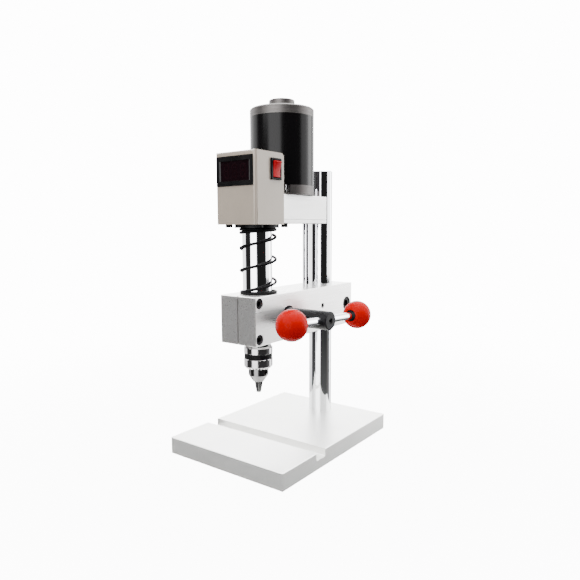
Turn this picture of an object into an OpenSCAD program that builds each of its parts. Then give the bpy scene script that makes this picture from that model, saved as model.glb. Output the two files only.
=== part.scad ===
// Mini bench drill: base plate, round column, clamped head block, sprung quill with a rack feed,
// belt drive from a small motor, and a keyed three-jaw chuck. All sizes are in millimetres.
// The origin is the middle of the base plate's underside, +X is the handle's side, +Y the column's.

/* [Base plate] */
// Width of the base plate, left to right
base_w = 150; // [130:1:180]
// Depth of the base plate, front to back
base_d = 200; // [190:1:240]
// Thickness of the base plate
base_t = 18; // [16:0.5:24]
// Bevel along the edges of the base plate and the head block
edge_bevel = 0.6; // [0.3:0.1:1.2]
// Width of the groove across the table
groove_w = 16; // [10:0.5:20]
// Depth of the groove across the table
groove_depth = 8; // [4:0.5:10]
// Distance of the groove's middle behind the quill axis
groove_offset = 6; // [0:0.5:10]

/* [Column] */
// Diameter of the column
column_d = 27; // [24:0.5:30]
// Height of the column's top above the table
column_rise = 287; // [280:1:340]
// Depth of the column's socket in the base plate
socket_depth = 5; // [3:0.5:6]
// Distance of the column's axis behind the middle of the plate
column_back = 74.5; // [70:0.5:80]
// Throat: distance from the quill axis to the column's axis
throat = 117.5; // [114:0.5:124]

/* [Head block] */
// Width of the head block
head_w = 46.2; // [45:0.2:54]
// Height of the head block
head_h = 49.2; // [46:0.2:56]
// Height of the head block's underside above the table
head_rise = 105.1; // [95:0.1:125]
// Reach of the head block in front of the quill axis
head_front = 31.2; // [29:0.2:36]
// Reach of the head block behind the column's axis
head_rear = 34.7; // [32:0.1:40]
// Width of the clamping slits
slit_w = 1.4; // [0.8:0.1:2.4]
// Distance of the quill clamp screws in front of the quill axis
clamp_front = 25; // [23:0.5:26]
// Distance of the quill clamp screws from the block's top and bottom
clamp_edge = 6.6; // [6:0.1:9]
// Distance of the column clamp screw behind the column's axis
clamp_rear = 23; // [20:0.5:25]

/* [Quill and spindle] */
// Outer diameter of the quill
quill_d = 30.5; // [29:0.1:33]
// Length of the quill, from its nose to the cover
quill_len = 119.2; // [115:0.1:140]
// Bore of the quill between its bearings
quill_bore = 20; // [17:0.5:21]
// Feed travel of the quill
quill_travel = 45; // [20:1:45]
// Diameter of the spindle between its bearings
spindle_d = 14; // [13:0.5:15]
// Bore of the spindle bearings
spindle_bearing_bore = 12; // [11:0.5:12]
// Outer diameter of the spindle bearings
spindle_bearing_d = 24; // [23:0.5:25]
// Width of the spindle bearings
spindle_bearing_w = 6; // [5:0.5:7]
// Diameter of the flange on top of the quill
flange_d = 45; // [43:0.5:46]
// Thickness of the flange on top of the quill
flange_t = 4.5; // [3.5:0.5:6]

/* [Return spring] */
// Wire of the return spring
spring_wire = 2.8; // [2:0.1:3]
// Outer diameter of the return spring
spring_d = 38.6; // [37.5:0.1:41]
// Rise of one working coil
spring_pitch = 22.9; // [18:0.1:26]
// Angle at which the lowest working coil leaves the block
spring_start = -139.5; // [-180:0.5:180]

/* [Rack and feed handle] */
// Module of the rack and pinion
gear_module = 1; // [0.8:0.1:1]
// Teeth of the pinion
pinion_teeth = 16; // [16:1:17]
// Face width of the pinion
pinion_w = 18; // [17:0.5:20]
// Play between the teeth
tooth_play = 0.16; // [0.1:0.02:0.3]
// Diameter of the handle's hub
hub_d = 18.8; // [18.8:0.1:21]
// Length of the hub outside the head block
hub_len = 52.4; // [48:0.2:60]
// Height of the feed shaft above the block's underside
feed_height = 24.2; // [22:0.1:26]
// Diameter of the handle bar
bar_d = 8; // [6:0.5:9]
// Distance of the bar's axis from the hub's end
bar_inset = 9; // [6:0.5:9]
// Reach of the bar from the hub to the front ball's middle
bar_front = 53.4; // [48:0.2:60]
// Reach of the bar from the hub to the rear ball's middle
bar_rear = 67.6; // [60:0.2:72]
// Tilt of the bar at rest, front end up
bar_tilt = 2.6; // [0:0.1:10]
// Diameter of the handle balls
ball_d = 30.5; // [26:0.5:32]
// Diameter of the insert in each ball
insert_d = 12.4; // [12:0.2:14]

/* [Belt housing] */
// Height of the belt housing with its cover
housing_h = 29.7; // [29:0.1:34]
// Thickness of the housing's cover
cover_t = 4; // [3:0.5:5]
// Thickness of the web that carries the motor
web_t = 5; // [4:0.5:6]
// Reach of the housing in front of the quill axis
housing_front = 26.5; // [25:0.5:27.5]
// Reach of the housing behind the guide rod's axis
housing_rear = 7; // [6.6:0.2:9]
// Distance between the spindle and the motor axis
belt_centres = 42.8; // [41:0.1:46]
// Diameter of the pulleys under the belt
pulley_d = 18; // [15:0.5:19]
// Width of the belt
belt_w = 9; // [6:0.5:10]
// Thickness of the belt
belt_t = 1.5; // [1:0.1:2]
// Distance of the guide rod's axis behind the quill axis
rod_back = 87.5; // [85:0.5:90]
// Diameter of the guide rod
rod_d = 8; // [6:0.5:9]
// Length of the guide rod above the head block
rod_rise = 112; // [106:1:115]

/* [Motor] */
// Diameter of the motor
motor_d = 67.6; // [64:0.2:69]
// Height of the motor's base cap
base_cap_h = 9.4; // [9:0.1:11]
// Height of the motor's can
can_h = 70.8; // [65:0.2:80]
// Height of the motor's top cap
top_cap_h = 9; // [9:0.1:12]
// Diameter of the bearing cap on top
bearing_cap_d = 27; // [24:0.5:28]
// Height of the bearing cap on top
bearing_cap_h = 9.5; // [6:0.5:12]
// Wall of the motor's can
can_wall = 2.3; // [1.8:0.1:2.6]
// Diameter of the motor shaft
motor_shaft_d = 8; // [7:0.5:8]

/* [Control box] */
// Width of the control box, which the belt housing just fills
box_w = 50.5; // [48:0.1:54]
// Depth of the control box, front to back
box_d = 45.1; // [42:0.1:46]
// Height of the control box
box_h = 70.1; // [68:0.1:74]
// Sheet thickness of the control box
box_wall = 1.5; // [1:0.1:1.6]
// Radius of the control box's front edges
box_edge_r = 2.5; // [1.6:0.1:4]
// Radius of the control box's upper rear corner
box_rear_r = 4; // [3:0.5:8]
// Reach of the control box in front of the quill axis
box_front = 32.5; // [30:0.1:34]
// Height that the control box hangs below the belt housing
box_skirt = 1.2; // [0.5:0.1:3]
// Width of the box's front left bare on each side of the bezel
bezel_margin = 1.7; // [1:0.1:2]
// Height of the bezel's underside above the box's underside
bezel_rise = 37; // [36:0.1:38]
// Distance of the bezel's top below the box's top
bezel_drop = 4.6; // [3:0.1:6]
// Width of the bezel on each side of the window
window_margin = 6.75; // [5.75:0.25:7]
// Width of the bezel above and below the window
window_border = 5; // [4:0.25:5.5]
// Gap between the digits and the window's top and bottom
digit_margin = 2.55; // [2:0.05:4]
// Width of the rocker switch's frame
rocker_w = 16; // [15:0.5:18]
// Height of the rocker switch's frame
rocker_h = 20.8; // [20:0.2:22]
// Swing of the rocker between its two positions
rocker_swing = 18; // [12:1:20]

/* [Chuck] */
// Largest diameter of the chuck
chuck_d = 30; // [29.5:0.5:34]
// Length of the closed chuck
chuck_len = 55; // [54:0.5:58]
// Gap between the head block and the chuck
chuck_gap = 0.8; // [0.5:0.1:2]
// Length of the chuck's sleeve
sleeve_len = 23.6; // [23:0.1:26]
// Diameter of the chuck's lower body
chuck_nose_d = 21; // [20.8:0.1:23]
// Slope of the jaws to the chuck's axis
jaw_slope = 12; // [11:0.5:13]
// Diameter of the jaws
jaw_d = 4.4; // [4:0.1:4.6]
// Travel of the jaws along their bores
jaw_travel = 13; // [8:0.5:13]
// Diameter of the closed jaws' tip
jaw_tip_d = 5; // [4:0.2:5.6]
// Diameter of the chuck key's pilot holes
key_hole_d = 5; // [4:0.2:5.4]

/* [Fits] */
// Radial clearance of what runs or slides
run_gap = 0.04; // [0.02:0.01:0.08]
// Radial clearance of what is pressed or screwed in
seat_gap = 0.02; // [0.01:0.01:0.04]
// Radial clearance round a screw's shank
screw_gap = 0.25; // [0.15:0.05:0.4]
// Gap between moving pieces that don't touch
free_gap = 0.3; // [0.25:0.05:0.4]
// Gap between the belt housing and the control box's sides
box_fit = 0.25; // [0.1:0.05:0.4]

/* [Hidden] */
$fn = 48;

// Screws: thread, head diameter, head height, width of the hexagon across its corners
M3 = [3, 5.5, 3, 2.9];
M4 = [4, 7, 4, 3.5];
M5 = [5, 8.5, 5, 4.6];
M6 = [6, 10, 6, 5.8];
M8 = [8, 13, 8, 6.9];
M10 = [10, 16, 10, 9.2];
socket_share = 0.55;
cut = 1;

// Sizes that follow the control box
housing_w = box_w - 2 * (box_wall + box_fit);
bezel_w = box_w - 2 * bezel_margin;
bezel_h = box_h - bezel_drop - bezel_rise;
window_w = bezel_w - 2 * window_margin;
window_h = bezel_h - 2 * window_border;
digit_h = window_h - 2 * digit_margin;

// Places along Z
table_z = base_t;
head_z = table_z + head_rise;
head_top = head_z + head_h;
feed_z = head_z + feed_height;
column_foot = table_z - socket_depth;
column_top = table_z + column_rise;
quill_lift = 1.5;
quill_foot = head_z + quill_lift;
quill_top = quill_foot + quill_len;
housing_top = quill_top + housing_h;
pocket_floor = quill_top + cover_t;
pocket_roof = housing_top - web_t;
can_z = housing_top + base_cap_h;
top_cap_z = can_z + can_h;
bearing_cap_z = top_cap_z + top_cap_h;
box_z = quill_top - box_skirt;
box_top = box_z + box_h;

// Places along Y
column_y = column_back;
quill_y = column_y - throat;
rod_y = quill_y + rod_back;
motor_y = quill_y + belt_centres;
head_y0 = quill_y - head_front;
head_y1 = column_y + head_rear;
housing_y0 = quill_y - housing_front;
housing_y1 = rod_y + housing_rear;
box_y0 = quill_y - box_front;
box_y1 = box_y0 + box_d;

// Rack and pinion
pitch_r = gear_module * pinion_teeth / 2;
tooth_pitch = PI * gear_module;
tooth_root = 1.25 * gear_module;
pressure = 20;
rack_line = quill_d / 2 - gear_module;
feed_y = quill_y + rack_line + pitch_r + 0.1;
rack_below = 2;
rack_teeth = rack_below + 1 + ceil(quill_travel / tooth_pitch) + 2;
bush_depth = 10;
bush_wall = 2;
journal_d = 10;

// Chuck
chuck_top = head_z - chuck_gap;
chuck_tip = chuck_top - chuck_len;
cap_h = 4.6;
sleeve_top = chuck_top - cap_h - 0.2;
sleeve_z = sleeve_top - sleeve_len;
nose_cone_z = sleeve_z - 7.6;
nose_end_z = chuck_tip + 12;
sleeve_bore = chuck_d / 2 - 2.5;
core_r = chuck_nose_d / 2 - 0.5;
nut_z = sleeve_z + 4;
nut_h = 8;
taper_len = 14.5;
taper_r = 5.05;
taper_end_r = 4.7;
jaw_len = 32;
jaw_tip_offset = 0.3;
key_hole_depth = 4;
shank_bore = 6.4;

// A straight block with all its edges bevelled, from its low corner to its high one
module bevelled_block(low, high, bevel) {
  size = high - low;
  translate(low) intersection() {
    linear_extrude(size[2]) bevelled_square(size[0], size[1], bevel);
    translate([0, size[1], 0]) rotate([90, 0, 0])
      linear_extrude(size[1]) bevelled_square(size[0], size[2], bevel);
    rotate([90, 0, 90]) linear_extrude(size[0]) bevelled_square(size[1], size[2], bevel);
  }
}

module bevelled_square(w, d, bevel) {
  polygon([[bevel, 0], [w - bevel, 0], [w, bevel], [w, d - bevel],
    [w - bevel, d], [bevel, d], [0, d - bevel], [0, bevel]]);
}

module tube(outer_d, inner_d, h) {
  difference() {
    cylinder(d = outer_d, h = h);
    translate([0, 0, -cut]) cylinder(d = inner_d, h = h + 2 * cut);
  }
}

// A socket-head screw driven along +Z: its head ends and its shank starts at z = 0
module cap_screw(size, length) {
  difference() {
    union() {
      translate([0, 0, -size[2]]) cylinder(d = size[1], h = size[2]);
      cylinder(d = size[0], h = length);
    }
    translate([0, 0, -size[2] - cut]) cylinder(d = size[3], h = size[2] * socket_share + cut, $fn = 6);
  }
}

// A countersunk screw driven along +Z: its head's face is at z = 0
module sunk_screw(size, length) {
  head_h = (size[1] - size[0]) / 2;
  difference() {
    union() {
      cylinder(d1 = size[1], d2 = size[0], h = head_h);
      cylinder(d = size[0], h = length);
    }
    translate([0, 0, -cut]) cylinder(d = size[3] * 0.8, h = head_h + cut, $fn = 6);
  }
}

// The hole for a countersunk screw driven along +Z, from its face at z = 0
module sunk_hole(size, length) {
  head_h = (size[1] - size[0]) / 2;
  translate([0, 0, -cut]) cylinder(d = size[0] + 2 * seat_gap, h = length + cut);
  cylinder(d1 = size[1] + 2 * seat_gap, d2 = size[0] + 2 * seat_gap, h = head_h);
  translate([0, 0, -cut]) cylinder(d = size[1] + 2 * seat_gap, h = cut);
}

// A headless screw driven along +Z, from its socket end at z = 0
module grub_screw(size, length) {
  difference() {
    cylinder(d = size[0], h = length);
    translate([0, 0, -cut]) cylinder(d = size[3] * 0.7, h = length / 2 + cut, $fn = 6);
  }
}

// Turns something driven along +Z to be driven along -X
module from_right() {
  rotate([0, -90, 0]) children();
}

// Base

module base_plate() {
  groove_y = quill_y + groove_offset;
  color("whitesmoke") difference() {
    bevelled_block([-base_w / 2, -base_d / 2, 0], [base_w / 2, base_d / 2, base_t], edge_bevel);
    translate([-base_w / 2 - cut, groove_y, table_z]) rotate([90, 0, 90])
      linear_extrude(base_w + 2 * cut) groove_outline();
    translate([0, column_y, column_foot]) cylinder(d = column_d + 2 * seat_gap, h = socket_depth + cut);
    translate([0, column_y, -cut]) {
      cylinder(d = M8[0] + 2 * screw_gap, h = base_t + cut);
      cylinder(d = M8[1] + 4 * screw_gap, h = M8[2] + 0.5 + cut);
    }
  }
}

// The groove's section, with its top on y = 0 and round bottom corners
module groove_outline() {
  corner_r = 1.5;
  translate([-groove_w / 2, -groove_depth + corner_r]) square([groove_w, groove_depth - corner_r + cut]);
  translate([-groove_w / 2 + corner_r, -groove_depth]) square([groove_w - 2 * corner_r, groove_depth]);
  for (side = [-1, 1]) translate([side * (groove_w / 2 - corner_r), -groove_depth + corner_r])
    circle(corner_r);
}

module column_bolt() {
  color("dimgray") translate([0, column_y, M8[2] + 0.5])
    cap_screw(M8, column_foot - M8[2] + bolt_grip);
}

bolt_grip = 18;

module column() {
  bevel = 1;
  color("gainsboro") translate([0, column_y, 0]) difference() {
    rotate_extrude() polygon([[0, column_foot], [column_d / 2, column_foot],
      [column_d / 2, column_top - bevel], [column_d / 2 - bevel, column_top], [0, column_top]]);
    translate([0, 0, column_foot - cut]) cylinder(d = M8[0] + 2 * seat_gap, h = bolt_grip + 4 + cut);
  }
}

// Head

quill_screw_depth = 7;
column_screw_depth = 11;
quill_screw_z = [head_z + clamp_edge, head_top - clamp_edge];
clamp_y = quill_y - clamp_front;
column_clamp_y = column_y + clamp_rear;
column_clamp_z = head_z + head_h / 2;
rod_floor = head_z + 8;
grub_z = head_z + 28;
grub_len = 12;
pinion_tip_r = pitch_r + gear_module;
bush_d = hub_d + 2 * bush_wall;
end_bush_d = journal_d + 2 * bush_wall;

module head_block() {
  right = head_w / 2;
  color("silver") difference() {
    bevelled_block([-right, head_y0, head_z], [right, head_y1, head_top], edge_bevel);
    translate([0, quill_y, head_z - cut]) cylinder(d = quill_d + 2 * run_gap, h = head_h + 2 * cut);
    translate([0, column_y, head_z - cut]) cylinder(d = column_d + 2 * run_gap, h = head_h + 2 * cut);
    translate([-slit_w / 2, head_y0 - cut, head_z - cut])
      cube([slit_w, head_front + cut, head_h + 2 * cut]);
    translate([-slit_w / 2, column_y, head_z - cut]) cube([slit_w, head_rear + cut, head_h + 2 * cut]);
    for (z = quill_screw_z) translate([right, clamp_y, z])
      clamp_screw_hole(M6, quill_screw_depth);
    translate([right, column_clamp_y, column_clamp_z]) clamp_screw_hole(M10, column_screw_depth);
    translate([0, rod_y, rod_floor]) cylinder(d = rod_d + 2 * seat_gap, h = head_h);
    translate([right + cut, rod_y, grub_z]) from_right() cylinder(d = M6[0] + 2 * seat_gap, h = right + cut);
    translate([0, feed_y, feed_z]) feed_bores();
  }
}

// The stepped hole of a clamp screw that is driven from the right-hand face
module clamp_screw_hole(size, depth) {
  from_right() {
    translate([0, 0, -cut]) cylinder(d = size[1] + 2 * screw_gap + 0.3, h = depth + cut);
    cylinder(d = size[0] + 2 * screw_gap, h = head_w / 2);
    cylinder(d = size[0] + 2 * seat_gap, h = head_w - 4);
  }
}

// The bores round the feed shaft: a seat for each bush and a chamber for the pinion
module feed_bores() {
  right = head_w / 2;
  rotate([0, 90, 0]) {
    translate([0, 0, right - bush_depth]) cylinder(d = bush_d + 2 * seat_gap, h = bush_depth + cut);
    translate([0, 0, -right - cut]) cylinder(d = end_bush_d + 2 * seat_gap, h = bush_depth + cut);
    translate([0, 0, -right + bush_depth])
      cylinder(d = max(2 * pinion_tip_r, hub_d) + 2 * free_gap, h = head_w - 2 * bush_depth);
  }
}

module quill_clamp_screws() {
  color("dimgray") for (z = quill_screw_z) translate([head_w / 2 - quill_screw_depth, clamp_y, z])
    from_right() cap_screw(M6, head_w - quill_screw_depth - 6);
}

module column_clamp_screw() {
  color("dimgray") translate([head_w / 2 - column_screw_depth, column_clamp_y, column_clamp_z])
    from_right() cap_screw(M10, head_w - column_screw_depth - 6);
}

module guide_rod() {
  bevel = 0.8;
  color("gainsboro") translate([0, rod_y, 0]) rotate_extrude() polygon([[0, rod_floor],
    [rod_d / 2, rod_floor], [rod_d / 2, head_top + rod_rise - bevel],
    [rod_d / 2 - bevel, head_top + rod_rise], [0, head_top + rod_rise]]);
}

module rod_grub_screw() {
  color("dimgray") translate([rod_d / 2 + grub_len, rod_y, grub_z]) from_right() grub_screw(M6, grub_len);
}

module pinion_bushes() {
  right = head_w / 2;
  color("darkgoldenrod") translate([0, feed_y, feed_z]) rotate([0, 90, 0]) {
    translate([0, 0, right - bush_depth]) tube(bush_d, hub_d + 2 * run_gap, bush_depth);
    translate([0, 0, -right]) tube(end_bush_d, journal_d + 2 * run_gap, bush_depth);
  }
}

// Return spring: a flat coil on the block, working coils, then a coil that closes up at the top

spring_floor = head_top;
spring_roof = quill_top - flange_t;
spring_rad = (spring_d - spring_wire) / 2;
end_gap = 0.5;
end_rise = spring_wire + end_gap;
flat_turn = 270;
coil_low = spring_floor + spring_wire / 2;
coil_high = spring_roof - spring_wire / 2;
working_turn = 360 * (coil_high - end_rise - coil_low) / spring_pitch;
spring_turn = flat_turn + working_turn + 360;
spring_rings = round(spring_turn / 45);
spring_sides = 6;

// Height of the wire's middle after a turn from its lower end
function coil_z(turn) = turn < flat_turn ? coil_low
  : turn < flat_turn + working_turn ? coil_low + spring_pitch * (turn - flat_turn) / 360
  : coil_high - end_rise * (spring_turn - turn) / 360;
function coil_point(turn) = let (a = spring_start - flat_turn + turn)
  [spring_rad * cos(a), quill_y + spring_rad * sin(a), coil_z(turn)];
function wire_ring(i) = let (turn = spring_turn * i / spring_rings, a = spring_start - flat_turn + turn,
  mid = coil_point(turn)) [for (k = [0 : spring_sides - 1]) let (b = 90 + 360 * k / spring_sides)
  mid + spring_wire / 2 * [cos(b) * cos(a), cos(b) * sin(a), sin(b)]];
function coil_gap(step = 5) = min([for (t = [0 : step : spring_turn - 180])
  for (u = [t + 180 : step : spring_turn]) norm(coil_point(t) - coil_point(u))]) - spring_wire;

module return_spring() {
  n = spring_sides;
  points = [for (i = [0 : spring_rings], p = wire_ring(i)) p];
  last = n * spring_rings;
  sides = [for (i = [0 : spring_rings - 1], k = [0 : n - 1], half = [0, 1])
    let (a = n * i + k, b = n * i + (k + 1) % n) half == 0 ? [a, a + n, b + n] : [a, b + n, b]];
  ends = [for (k = [1 : n - 2], half = [0, 1]) half == 0 ? [0, k, k + 1] : [last, last + k + 1, last + k]];
  echo(spring_least_gap = coil_gap());
  color("black") polyhedron(points, concat(sides, ends));
}

// Quill

lower_seat = spindle_bearing_w + 0.6;
upper_seat = spindle_bearing_w + 0.8;
lower_bearing_z = quill_foot + lower_seat - spindle_bearing_w;
upper_bearing_z = quill_top - upper_seat;

module quill() {
  color("gainsboro") translate([0, quill_y, 0]) difference() {
    translate([0, 0, quill_foot]) cylinder(d = quill_d, h = quill_len);
    translate([0, 0, quill_foot - cut]) cylinder(d = quill_bore, h = quill_len + 2 * cut);
    translate([0, 0, quill_foot - cut])
      cylinder(d = spindle_bearing_d + 2 * seat_gap, h = lower_seat + cut);
    translate([0, 0, upper_bearing_z]) cylinder(d = spindle_bearing_d + 2 * seat_gap, h = upper_seat + cut);
    for (i = [-rack_below : rack_teeth - rack_below - 1])
      translate([-quill_d / 2, 0, feed_z + i * tooth_pitch]) rack_gap();
  }
}

// One gap of the rack, cut straight across the back of the quill
module rack_gap() {
  root = rack_line - tooth_root;
  outside = quill_d / 2 + 0.05;
  root_w = tooth_pitch / 4 + tooth_play / 2 - tooth_root * tan(pressure);
  outside_w = tooth_pitch / 4 + tooth_play / 2 + (outside - rack_line) * tan(pressure);
  rotate([90, 0, 90]) linear_extrude(quill_d)
    polygon([[root, -root_w], [outside, -outside_w], [outside, outside_w], [root, root_w]]);
}

flange_screw_r = (quill_d + flange_d) / 4;
flange_screw_len = flange_t + cover_t - 1;

module quill_flange() {
  color("dimgray") translate([0, quill_y, quill_top - flange_t]) difference() {
    tube(flange_d, quill_d + 2 * seat_gap, flange_t);
    flange_places() sunk_hole(M3, flange_t + cut);
  }
}

module flange_places() {
  for (a = [0 : 90 : 270]) rotate([0, 0, a]) translate([flange_screw_r, 0, 0]) children();
}

module flange_screws() {
  color("black") translate([0, quill_y, quill_top - flange_t])
    flange_places() sunk_screw(M3, flange_screw_len);
}

// The rings of one ball bearing: the outer one, and the inner one with its cage and balls
module outer_ring(outer_d, bore, w) {
  tube(outer_d, outer_d - 0.27 * (outer_d - bore), w);
}

module inner_ring(outer_d, bore, w) {
  middle = (outer_d + bore) / 4;
  ball_gap_d = (outer_d - bore) * 0.46 / 2 - 2 * 0.15;
  tube(bore + 0.27 * (outer_d - bore), bore + 2 * seat_gap, w);
  translate([0, 0, w / 2 - 0.5]) tube(2 * middle + ball_gap_d * 0.6, bore + 0.2 * (outer_d - bore), 1);
  for (a = [0 : 40 : 320]) rotate([0, 0, a]) translate([middle, 0, w / 2]) sphere(d = ball_gap_d);
}

module spindle_bearing_outers() {
  color("silver") for (z = [lower_bearing_z, upper_bearing_z]) translate([0, quill_y, z])
    outer_ring(spindle_bearing_d, spindle_bearing_bore, spindle_bearing_w);
}

module spindle_bearing_inners() {
  color("silver") for (z = [lower_bearing_z, upper_bearing_z]) translate([0, quill_y, z])
    inner_ring(spindle_bearing_d, spindle_bearing_bore, spindle_bearing_w);
}

// Belt housing

housing_bevel = 0.5;
belt_z = pocket_floor + 4;
pulley_flange_t = 1.5;
pulley_flange_d = pulley_d + 2 * belt_t + 2;
pulley_z = belt_z - pulley_flange_t;
pulley_h = belt_w + 2 * pulley_flange_t;
pocket_r = pulley_flange_d / 2 + 3.5;
cover_screw_x = (housing_w - M4[1]) / 2;
cover_screw_y = 20;
rear_screw_x = housing_w / 2 - 6.5;
cover_screw_len = 16;
mount_screw_r = 19;
mount_screw_len = web_t + 7;
bush_od = rod_d + 4;

module cover_screw_places() {
  for (x = [-1, 1], y = [-1, 1]) translate([x * cover_screw_x, quill_y + y * cover_screw_y, quill_top])
    children();
}

module rear_screw_places() {
  for (x = [-1, 1]) translate([x * rear_screw_x, rod_y, quill_top]) children();
}

module mount_screw_places() {
  for (y = [-1, 1]) translate([0, motor_y + y * mount_screw_r, pocket_roof]) children();
}

// The outline round both pulleys, grown to a radius
module belt_outline(r) {
  translate([0, quill_y]) circle(r);
  translate([0, motor_y]) circle(r);
  translate([-r, quill_y]) square([2 * r, belt_centres]);
}

module belt_housing() {
  color("gainsboro") difference() {
    bevelled_block([-housing_w / 2, housing_y0, pocket_floor], [housing_w / 2, housing_y1, housing_top],
      housing_bevel);
    translate([0, 0, pocket_floor - cut]) linear_extrude(pocket_roof - pocket_floor + cut)
      belt_outline(pocket_r);
    translate([0, motor_y, pocket_roof - cut]) cylinder(d = motor_shaft_d + 4, h = web_t + 2 * cut);
    translate([0, rod_y, pocket_floor - cut]) cylinder(d = bush_od + 2 * seat_gap, h = housing_h);
    cover_screw_places() cylinder(d = M4[0] + 2 * seat_gap, h = cover_screw_len + 1);
    rear_screw_places() cylinder(d = M4[0] + 2 * seat_gap, h = cover_screw_len + 1);
    mount_screw_places() cylinder(d = M5[0] + 2 * screw_gap, h = web_t + cut);
    translate([0, motor_y + mount_screw_r, pocket_floor - cut])
      cylinder(d = M5[1] + 1, h = pocket_roof - pocket_floor + cut);
    box_tab_places() translate([0, 0, -tab_screw_grip - 1])
      cylinder(d = M3[0] + 2 * seat_gap, h = tab_screw_grip + 1 + cut);
  }
}

module housing_cover() {
  color("gainsboro") difference() {
    bevelled_block([-housing_w / 2, housing_y0, quill_top], [housing_w / 2, housing_y1, pocket_floor],
      housing_bevel);
    translate([0, quill_y, quill_top - cut]) cylinder(d = spindle_d + 4, h = cover_t + 2 * cut);
    translate([0, rod_y, quill_top - cut]) cylinder(d = bush_od + 2 * seat_gap, h = cover_t + 2 * cut);
    cover_screw_places() translate([0, 0, -cut]) cylinder(d = M4[0] + 2 * screw_gap, h = cover_t + 2 * cut);
    rear_screw_places() sunk_hole(M4, cover_t + cut);
    translate([0, quill_y, quill_top - cut]) flange_places()
      cylinder(d = M3[0] + 2 * seat_gap, h = cover_t + 2 * cut);
  }
}

module cover_screws() {
  color("black") {
    cover_screw_places() cap_screw(M4, cover_screw_len);
    rear_screw_places() sunk_screw(M4, cover_screw_len);
  }
}

module guide_bush() {
  color("darkgoldenrod") translate([0, rod_y, quill_top]) difference() {
    union() {
      cylinder(d = bush_od, h = housing_h);
      translate([0, 0, housing_h]) cylinder(d = bush_od + 1.2, h = 1.5);
    }
    translate([0, 0, -cut]) cylinder(d = rod_d + 2 * run_gap, h = housing_h + 4);
  }
}

module drive_belt() {
  inside_r = pulley_d / 2 + free_gap;
  color("black") translate([0, 0, belt_z + free_gap]) linear_extrude(belt_w - 2 * free_gap) difference() {
    belt_outline(inside_r + belt_t);
    belt_outline(inside_r);
  }
}

// A toothed pulley with a flange above and below the belt
module pulley(bore) {
  difference() {
    union() {
      linear_extrude(pulley_h) pulley_teeth();
      for (z = [0, pulley_h - pulley_flange_t]) translate([0, 0, z])
        cylinder(d = pulley_flange_d, h = pulley_flange_t);
    }
    translate([0, 0, -cut]) cylinder(d = bore + 2 * seat_gap, h = pulley_h + 2 * cut);
  }
}

module pulley_teeth() {
  teeth = 24;
  difference() {
    circle(d = pulley_d);
    for (i = [0 : teeth - 1]) rotate(360 * i / teeth) translate([pulley_d / 2 - 0.6, -0.5]) square([2, 1]);
  }
}

// Control box

bezel_top = box_top - bezel_drop;
rocker_y = quill_y - 1.1;
rocker_z = box_top - 16.2;
rocker_body_w = rocker_w - 2.6;
rocker_body_h = rocker_h - 1.4;
inlet_d = 11;
tab_w = 7;
tab_len = 10;
tab_y = quill_y - 20;
tab_screw_grip = 5;
meter_w = bezel_w - 3;
meter_h = bezel_h - 3;

module box_tab_places() {
  for (x = [-1, 1]) translate([x * (housing_w / 2 - tab_w / 2), tab_y + tab_len / 2, housing_top]) children();
}

// The sheet's outline seen from above, grown inwards by a thickness
module box_outline(inset) {
  r = box_edge_r - inset;
  half = box_w / 2 - inset;
  front = box_y0 + inset;
  translate([-half, front + r]) square([2 * half, box_d + cut]);
  translate([-half + r, front]) square([2 * half - 2 * r, r]);
  for (side = [-1, 1]) translate([side * (half - r), front + r]) circle(r);
}

// The box's outline seen from the side, with a round corner at the front and rear of its top
module box_side() {
  r = box_rear_r;
  f = box_edge_r;
  translate([box_y0, box_z]) square([box_d, box_h - max(r, f)]);
  translate([box_y0 + f, box_z]) square([box_d - f - r, box_h]);
  translate([box_y0, box_z]) square([f, box_h - f]);
  translate([box_y1 - r, box_z]) square([r, box_h - r]);
  translate([box_y0 + f, box_top - f]) circle(f);
  translate([box_y1 - r, box_top - r]) circle(r);
}

module control_box() {
  inner_r = max(box_edge_r - box_wall, 0.1);
  motor_room = motor_d / 2 + 1;
  color("tan") {
    difference() {
      intersection() {
        translate([0, 0, box_z]) linear_extrude(box_h) box_outline(0);
        translate([-box_w, 0, 0]) rotate([90, 0, 90]) linear_extrude(2 * box_w) box_side();
      }
      translate([0, 0, box_z - cut]) linear_extrude(box_h - box_wall + cut) box_outline(box_edge_r - inner_r);
      translate([0, motor_y, box_z]) cylinder(r = motor_room, h = box_h + cut);
      translate([-meter_w / 2, box_y0 - cut, bezel_mid_z - meter_h / 2])
        cube([meter_w, box_wall + 2 * cut, meter_h]);
      translate([box_w / 2 - box_wall - cut, rocker_y - rocker_body_w / 2, rocker_z - rocker_body_h / 2])
        cube([box_wall + 2 * cut, rocker_body_w, rocker_body_h]);
      translate([-box_w / 2 - cut, rocker_y, rocker_z]) rotate([0, 90, 0])
        cylinder(d = inlet_d + 2 * seat_gap, h = box_wall + 2 * cut);
    }
    difference() {
      for (side = [0, 1]) mirror([side, 0, 0]) translate([housing_w / 2 - tab_w, tab_y, housing_top])
        cube([tab_w + box_fit + box_wall / 2, tab_len, box_wall]);
      box_tab_places() translate([0, 0, -cut]) cylinder(d = M3[0] + 2 * screw_gap, h = box_wall + 2 * cut);
    }
  }
}

module box_screws() {
  color("silver") box_tab_places() translate([0, 0, box_wall]) mirror([0, 0, 1])
    cap_screw(M3, box_wall + tab_screw_grip);
}

// Display

bezel_proud = 1.6;
bezel_slope = 3.5;
bezel_mid_z = bezel_top - bezel_h / 2;
meter_depth = 14;
window_t = 1;
board_t = 1.6;

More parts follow.
